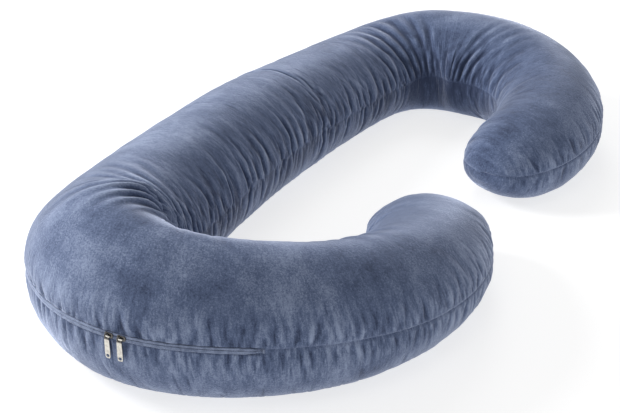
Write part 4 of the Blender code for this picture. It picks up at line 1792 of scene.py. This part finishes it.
@dataclass
class Slider:
    """A zip slider: its wing plate over the lips, and the bridge that holds the tab."""

    node_name: str
    name: str
    length: float = 12.4 * MM
    width: float = 9.0 * MM
    thickness: float = 1.5 * MM
    tail_share: float = 0.80
    bridge_length: float = 6.8 * MM
    bridge_rise: float = 3.6 * MM
    bridge_width: float = 2.4 * MM
    strap: float = 1.2 * MM
    corner: float = 1.6 * MM
    wing_corner: float = 2.2 * MM
    edge_radius: float = 0.32 * MM
    top_tarnish_and_shade: float = 0.25

    def seat(self, line: ZipLine) -> Matrix:
        """The slider's frame, on its CAD part's place."""
        height = self.thickness + self.bridge_rise
        return line.seat(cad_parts[self.node_name], height / 2)

    def build(self, line: ZipLine, finish: bpy.types.Material) -> bpy.types.Object:
        """Makes the slider.

        Args:
            line: The zip's line.
            finish: The metal.

        Returns:
            The slider's object.
        """
        bm = bmesh.new()
        self._add_wing(bm)
        self._add_bridge(bm)
        # Painted shade and tarnish below the top of the bridge; the top stays brighter.
        layer = bm.verts.layers.float.new("tarnish_and_shade")
        top = self.thickness + self.bridge_rise
        for vert in bm.verts:
            vert[layer] = self.top_tarnish_and_shade if vert.co.z > 0.8 * top else 1.0
        bm.transform(self.seat(line))
        return finished(self.name, bm, finish, SHARP_DEGREES)

    def _add_wing(self, bm: bmesh.types.BMesh) -> None:
        """The plate, narrower at its tail, with rounded corners and edges."""
        made = bmesh.ops.create_cube(bm, size=1.0)["verts"]
        bmesh.ops.scale(bm, vec=(self.length, self.width, self.thickness), verts=made)
        bmesh.ops.translate(bm, vec=(0.0, 0.0, self.thickness / 2), verts=made)
        for vert in made:
            if vert.co.x > 0:
                vert.co.y *= self.tail_share
        upright = [
            edge
            for edge in bm.edges
            if abs(edge.verts[0].co.z - edge.verts[1].co.z) > 0.5 * self.thickness
        ]
        bmesh.ops.bevel(
            bm,
            geom=upright,
            offset=self.wing_corner,
            segments=5,
            profile=0.5,
            affect="EDGES",
            material=-1,
        )
        soften(bm, self.edge_radius)

    def _add_bridge(self, bm: bmesh.types.BMesh) -> None:
        """The strap: up from the plate, over the tab's slot and down again."""
        arch = bmesh.new()
        half = self.bridge_length / 2 - self.strap / 2
        low = 0.5 * self.thickness
        straight = self.bridge_rise + self.thickness - low - self.corner - self.strap / 2
        made = bmesh.ops.create_grid(arch, x_segments=1, y_segments=1, size=0.5)["verts"]
        bmesh.ops.scale(arch, vec=(self.strap, self.bridge_width, 1.0), verts=made)
        bmesh.ops.translate(arch, vec=(-half, 0.0, low), verts=made)
        face = arch.faces[:][0]
        face = self._pushed(arch, face, Vector((0.0, 0.0, straight)))
        pivot = Vector((self.corner - half, 0.0, low + straight))
        face = self._turned(arch, face, pivot)
        face = self._pushed(arch, face, Vector((2 * (half - self.corner), 0.0, 0.0)))
        pivot = Vector((half - self.corner, 0.0, low + straight))
        face = self._turned(arch, face, pivot)
        self._pushed(arch, face, Vector((0.0, 0.0, -straight)))
        bmesh.ops.recalc_face_normals(arch, faces=arch.faces)
        soften(arch, self.edge_radius, 60.0)
        mesh = bpy.data.meshes.new("bridge")
        arch.to_mesh(mesh)
        arch.free()
        bm.from_mesh(mesh)
        bpy.data.meshes.remove(mesh)

    def _pushed(
        self, bm: bmesh.types.BMesh, face: bmesh.types.BMFace, way: Vector
    ) -> bmesh.types.BMFace:
        """Extrudes the strap's end straight on and returns its new end."""
        made = bmesh.ops.extrude_face_region(bm, geom=[face])["geom"]
        verts = [item for item in made if isinstance(item, bmesh.types.BMVert)]
        bmesh.ops.translate(bm, vec=way, verts=verts)
        return next(item for item in made if isinstance(item, bmesh.types.BMFace))

    def _turned(
        self, bm: bmesh.types.BMesh, face: bmesh.types.BMFace, pivot: Vector
    ) -> bmesh.types.BMFace:
        """Spins the strap's end round a corner and returns its new end."""
        made = bmesh.ops.spin(
            bm,
            geom=[face, *face.edges, *face.verts],
            cent=pivot,
            axis=(0.0, 1.0, 0.0),
            angle=math.pi / 2,
            steps=5,
            use_duplicate=False,
        )["geom_last"]
        return next(item for item in made if isinstance(item, bmesh.types.BMFace))


@dataclass
class Tab:
    """A pull tab that hangs on its slider's bridge and rests on the cloth."""

    node_name: str
    name: str
    slider: Slider
    length: float = 38.0 * MM
    top_width: float = 7.0 * MM
    foot_width: float = 8.4 * MM
    thickness: float = 1.2 * MM
    bar: float = 1.3 * MM
    slot: tuple[float, float] = (3.2 * MM, 5.6 * MM)
    hole_radii: tuple[float, float] = (2.5 * MM, 2.3 * MM)
    hole_from_foot: float = 4.2 * MM
    rest_gap: float = 0.4 * MM
    leg_room: float = 1.4 * MM
    hinge_room: float = 0.3 * MM
    least_slope: float = -0.04
    squareness: float = 5.5
    edge_radius: float = 0.28 * MM
    ray_start: float = 40 * MM

    def build(
        self, line: ZipLine, cover: bpy.types.Object, finish: bpy.types.Material
    ) -> bpy.types.Object:
        """Makes the tab.

        Args:
            line: The zip's line.
            cover: The cover that the tab's foot rests on.
            finish: The metal.

        Returns:
            The tab's object.
        """
        bm = bmesh.new()
        self._add_outline(bm)
        self._add_hole(bm, Vector((0.0, -self.slot[1] / 2, 0.0)), self.slot, 4.0)
        foot = self.bar - self.length + self.hole_from_foot
        radii = (2 * self.hole_radii[0], 2 * self.hole_radii[1])
        self._add_hole(bm, Vector((0.0, foot, 0.0)), radii, 2.0)
        bmesh.ops.triangle_fill(bm, use_beauty=True, edges=bm.edges[:])
        bmesh.ops.recalc_face_normals(bm, faces=bm.faces)
        made = bmesh.ops.extrude_face_region(bm, geom=bm.faces[:])["geom"]
        verts = [item for item in made if isinstance(item, bmesh.types.BMVert)]
        bmesh.ops.translate(bm, vec=(0.0, 0.0, self.thickness), verts=verts)
        bmesh.ops.recalc_face_normals(bm, faces=bm.faces)
        soften(bm, self.edge_radius)
        # Painted shade and tarnish at the hinge end under the slider's bridge, fading below
        # the slot.
        layer = bm.verts.layers.float.new("tarnish_and_shade")
        for vert in bm.verts:
            below = -vert.co.y / self.slot[1]
            vert[layer] = 1.0 - float(eased(np.array(below - 0.9)))
        bm.transform(self.slider.seat(line) @ self._hang(line, cover))
        return finished(self.name, bm, finish, SHARP_DEGREES)

    def _add_outline(self, bm: bmesh.types.BMesh) -> None:
        """The tab's edge: a tall rounded oblong, wider at its foot."""
        made = bmesh.ops.create_circle(bm, segments=56, radius=1.0)["verts"]
        middle = self.bar - self.length / 2
        for vert in made:
            x, y = self._squared(vert.co, self.squareness)
            share = (1 - y) / 2
            width = self.top_width + (self.foot_width - self.top_width) * share
            vert.co = (x * width / 2, middle + y * self.length / 2, 0.0)

    def _add_hole(
        self,
        bm: bmesh.types.BMesh,
        centre: Vector,
        size: tuple[float, float],
        squareness: float,
    ) -> None:
        """One opening's edge.

        Args:
            bm: The mesh to add it to.
            centre: The opening's middle.
            size: Its width and height.
            squareness: 2 for an oval, more for an oblong.
        """
        made = bmesh.ops.create_circle(bm, segments=24, radius=1.0)["verts"]
        for vert in made:
            x, y = self._squared(vert.co, squareness)
            vert.co = centre + Vector((x * size[0] / 2, y * size[1] / 2, 0.0))

    def _squared(self, point: Vector, squareness: float) -> tuple[float, float]:
        """A point of the unit circle moved out towards a square."""
        power = 2 / squareness
        x = math.copysign(abs(point.x) ** power, point.x)
        return x, math.copysign(abs(point.y) ** power, point.y)

    def _hang(self, line: ZipLine, cover: bpy.types.Object) -> Matrix:
        """The tab's place on the slider, tilted until it clears the cloth."""
        slider = self.slider
        leg = (self.leg_room - slider.bridge_length) / 2
        top = slider.bridge_width / 2 + self.hinge_room
        free = slider.bridge_rise - slider.strap - self.thickness
        hang = slider.thickness + 0.5 * free
        seat = slider.seat(line)
        foot = top + self.bar - self.length
        slope = self.least_slope
        sides = (leg - self.foot_width / 2, leg, leg + self.foot_width / 2)
        for step in range(9):
            y = foot + self.length * step / 12
            for x in sides:
                height = self._cloth_height(cover, seat, x, y) + self.rest_gap
                slope = max(slope, (height - hang) / (top - y))
        tilt = Matrix.Rotation(-math.atan(slope), 4, "X")
        return Matrix.Translation((leg, top, hang)) @ tilt

    def _cloth_height(
        self, cover: bpy.types.Object, seat: Matrix, x: float, y: float
    ) -> float:
        """How far out of the slider's plane the cloth lies at a point of it."""
        start = seat @ Vector((x, y, self.ray_start))
        down = -(seat.to_3x3() @ Vector((0.0, 0.0, 1.0)))
        hit, place, _, _ = cover.ray_cast(start, down)
        return self.ray_start - (place - start).length if hit else -self.ray_start


@dataclass
class Zip:
    """The zip in the outer seam: two lips, their stitches, two tacks, two sliders."""

    line: ZipLine
    cloth: bpy.types.Material
    thread: bpy.types.Material
    metal: bpy.types.Material
    tack_room: float = 1.5 * MM

    def build(self, cover: bpy.types.Object) -> None:
        """Args:
            cover: The cover that the tabs rest on.
        """
        low, high = self.line.tacks()
        span = (low + self.tack_room, high - self.tack_room)
        lips = (
            Lip("zip_lip_upper_cloth", 0.30 * MM, 3.65 * MM, 31, span),
            Lip("zip_lip_lower_cloth", -0.30 * MM, -5.25 * MM, 41, span),
        )
        for lip, node in zip(lips, ("zip_lip_upper", "zip_lip_lower")):
            declare(lip.build(self.line, self.cloth), node)
            row = Stitches(node + "_stitches", lip)
            declare(row.build(self.line, self.thread))
        for end in ("near", "spine"):
            tack = Tack("zip_tack_" + end, "zip_tack_" + end + "_thread")
            declare(tack.build(self.line, self.thread), tack.node_name)
        for side in ("left", "right"):
            slider = Slider("slider_" + side, "slider_" + side + "_metal")
            tab = Tab("pull_" + side, "pull_" + side + "_metal", slider)
            declare(slider.build(self.line, self.metal), slider.node_name)
            declare(tab.build(self.line, cover, self.metal), tab.node_name)


# ---------------------------------------------------------------- the studio


@dataclass(frozen=True)
class Lamp:
    """A soft area light."""

    name: str
    place: tuple[float, float, float]
    target: tuple[float, float, float]
    size: float
    watts: float
    colour: Colour = (1.0, 1.0, 1.0)


@dataclass
class Studio:
    """The floor, the lights, the surroundings and the camera."""

    azimuth: float = 25.407
    elevation: float = 25.542
    distance: float = 1.99368
    target: tuple[float, float, float] = (0.03086, -0.24181, 0.1)
    focal_pixels: float = 1275.13
    image_width: float = 620.0
    shift_pixels: tuple[float, float] = (4.026, 9.413)
    sensor_width: float = 36.0
    floor_size: float = 14.0
    world_light: float = 0.40
    lamps: tuple[Lamp, ...] = (
        Lamp("softbox_left", (-2.4, -0.7, 1.5), (0.0, -0.1, 0.1), 1.2, 92.0),
        Lamp("softbox_front", (0.2, -2.4, 3.0), (0.1, -0.3, 0.1), 1.8, 12.0),
        Lamp("softbox_back", (-0.9, 2.3, 2.2), (0.0, 0.2, 0.1), 1.4, 21.0),
    )

    def build_floor(self, finish: bpy.types.Material) -> bpy.types.Object:
        """Makes the floor and returns it."""
        bm = bmesh.new()
        bmesh.ops.create_grid(bm, x_segments=1, y_segments=1, size=self.floor_size / 2)
        mesh = bpy.data.meshes.new("floor")
        bm.to_mesh(mesh)
        bm.free()
        return linked("floor", mesh, finish)

    def build_lights(self) -> None:
        """Places the lamps and lights the surroundings."""
        for lamp in self.lamps:
            light = bpy.data.lights.new(lamp.name, "AREA")
            light.shape = "DISK"
            light.size = lamp.size
            light.energy = lamp.watts
            light.color = lamp.colour
            holder = bpy.data.objects.new(lamp.name, light)
            bpy.context.scene.collection.objects.link(holder)
            holder.location = lamp.place
            away = Vector(lamp.place) - Vector(lamp.target)
            holder.rotation_euler = away.to_track_quat("Z", "Y").to_euler()
        world = bpy.data.worlds.new("studio")
        world.use_nodes = True
        background = world.node_tree.nodes["Background"]
        background.inputs["Color"].default_value = (1.0, 1.0, 1.0, 1.0)
        background.inputs["Strength"].default_value = self.world_light
        bpy.context.scene.world = world

    def build_camera(self) -> bpy.types.Object:
        """Places the camera at the picture's angle and returns it."""
        azimuth, elevation = math.radians(self.azimuth), math.radians(self.elevation)
        level = math.cos(elevation)
        east, north = math.sin(azimuth) * level, -math.cos(azimuth) * level
        back = Vector((east, north, math.sin(elevation)))
        camera = bpy.data.cameras.new("camera")
        camera.sensor_width = self.sensor_width
        camera.lens = self.sensor_width * self.focal_pixels / self.image_width
        camera.shift_x = -self.shift_pixels[0] / self.image_width
        camera.shift_y = self.shift_pixels[1] / self.image_width
        camera.clip_start, camera.clip_end = 0.01, 100.0
        holder = bpy.data.objects.new("camera", camera)
        bpy.context.scene.collection.objects.link(holder)
        holder.location = Vector(self.target) + back * self.distance
        holder.rotation_euler = back.to_track_quat("Z", "Y").to_euler()
        bpy.context.scene.camera = holder
        return holder


def main() -> None:
    logging.basicConfig(level=logging.INFO, format="%(name)s: %(message)s")
    scene = bpy.context.scene
    scene.view_settings.view_transform = "Standard"
    studio = Studio()
    studio.build_camera()
    studio.build_lights()
    studio.build_floor(Paper().material())

    form = CoverForm()
    line = ZipLine(form)
    sheet = Cover(form, Folds(), Stuffing(), line.tacks())
    cover = sheet.build(Velvet().material())
    declare(cover, "pillow")

    finishes = (ZipCloth(), Thread(), Nickel())
    Zip(line, *(finish.material() for finish in finishes)).build(cover)


if __name__ == "__main__":
    main()
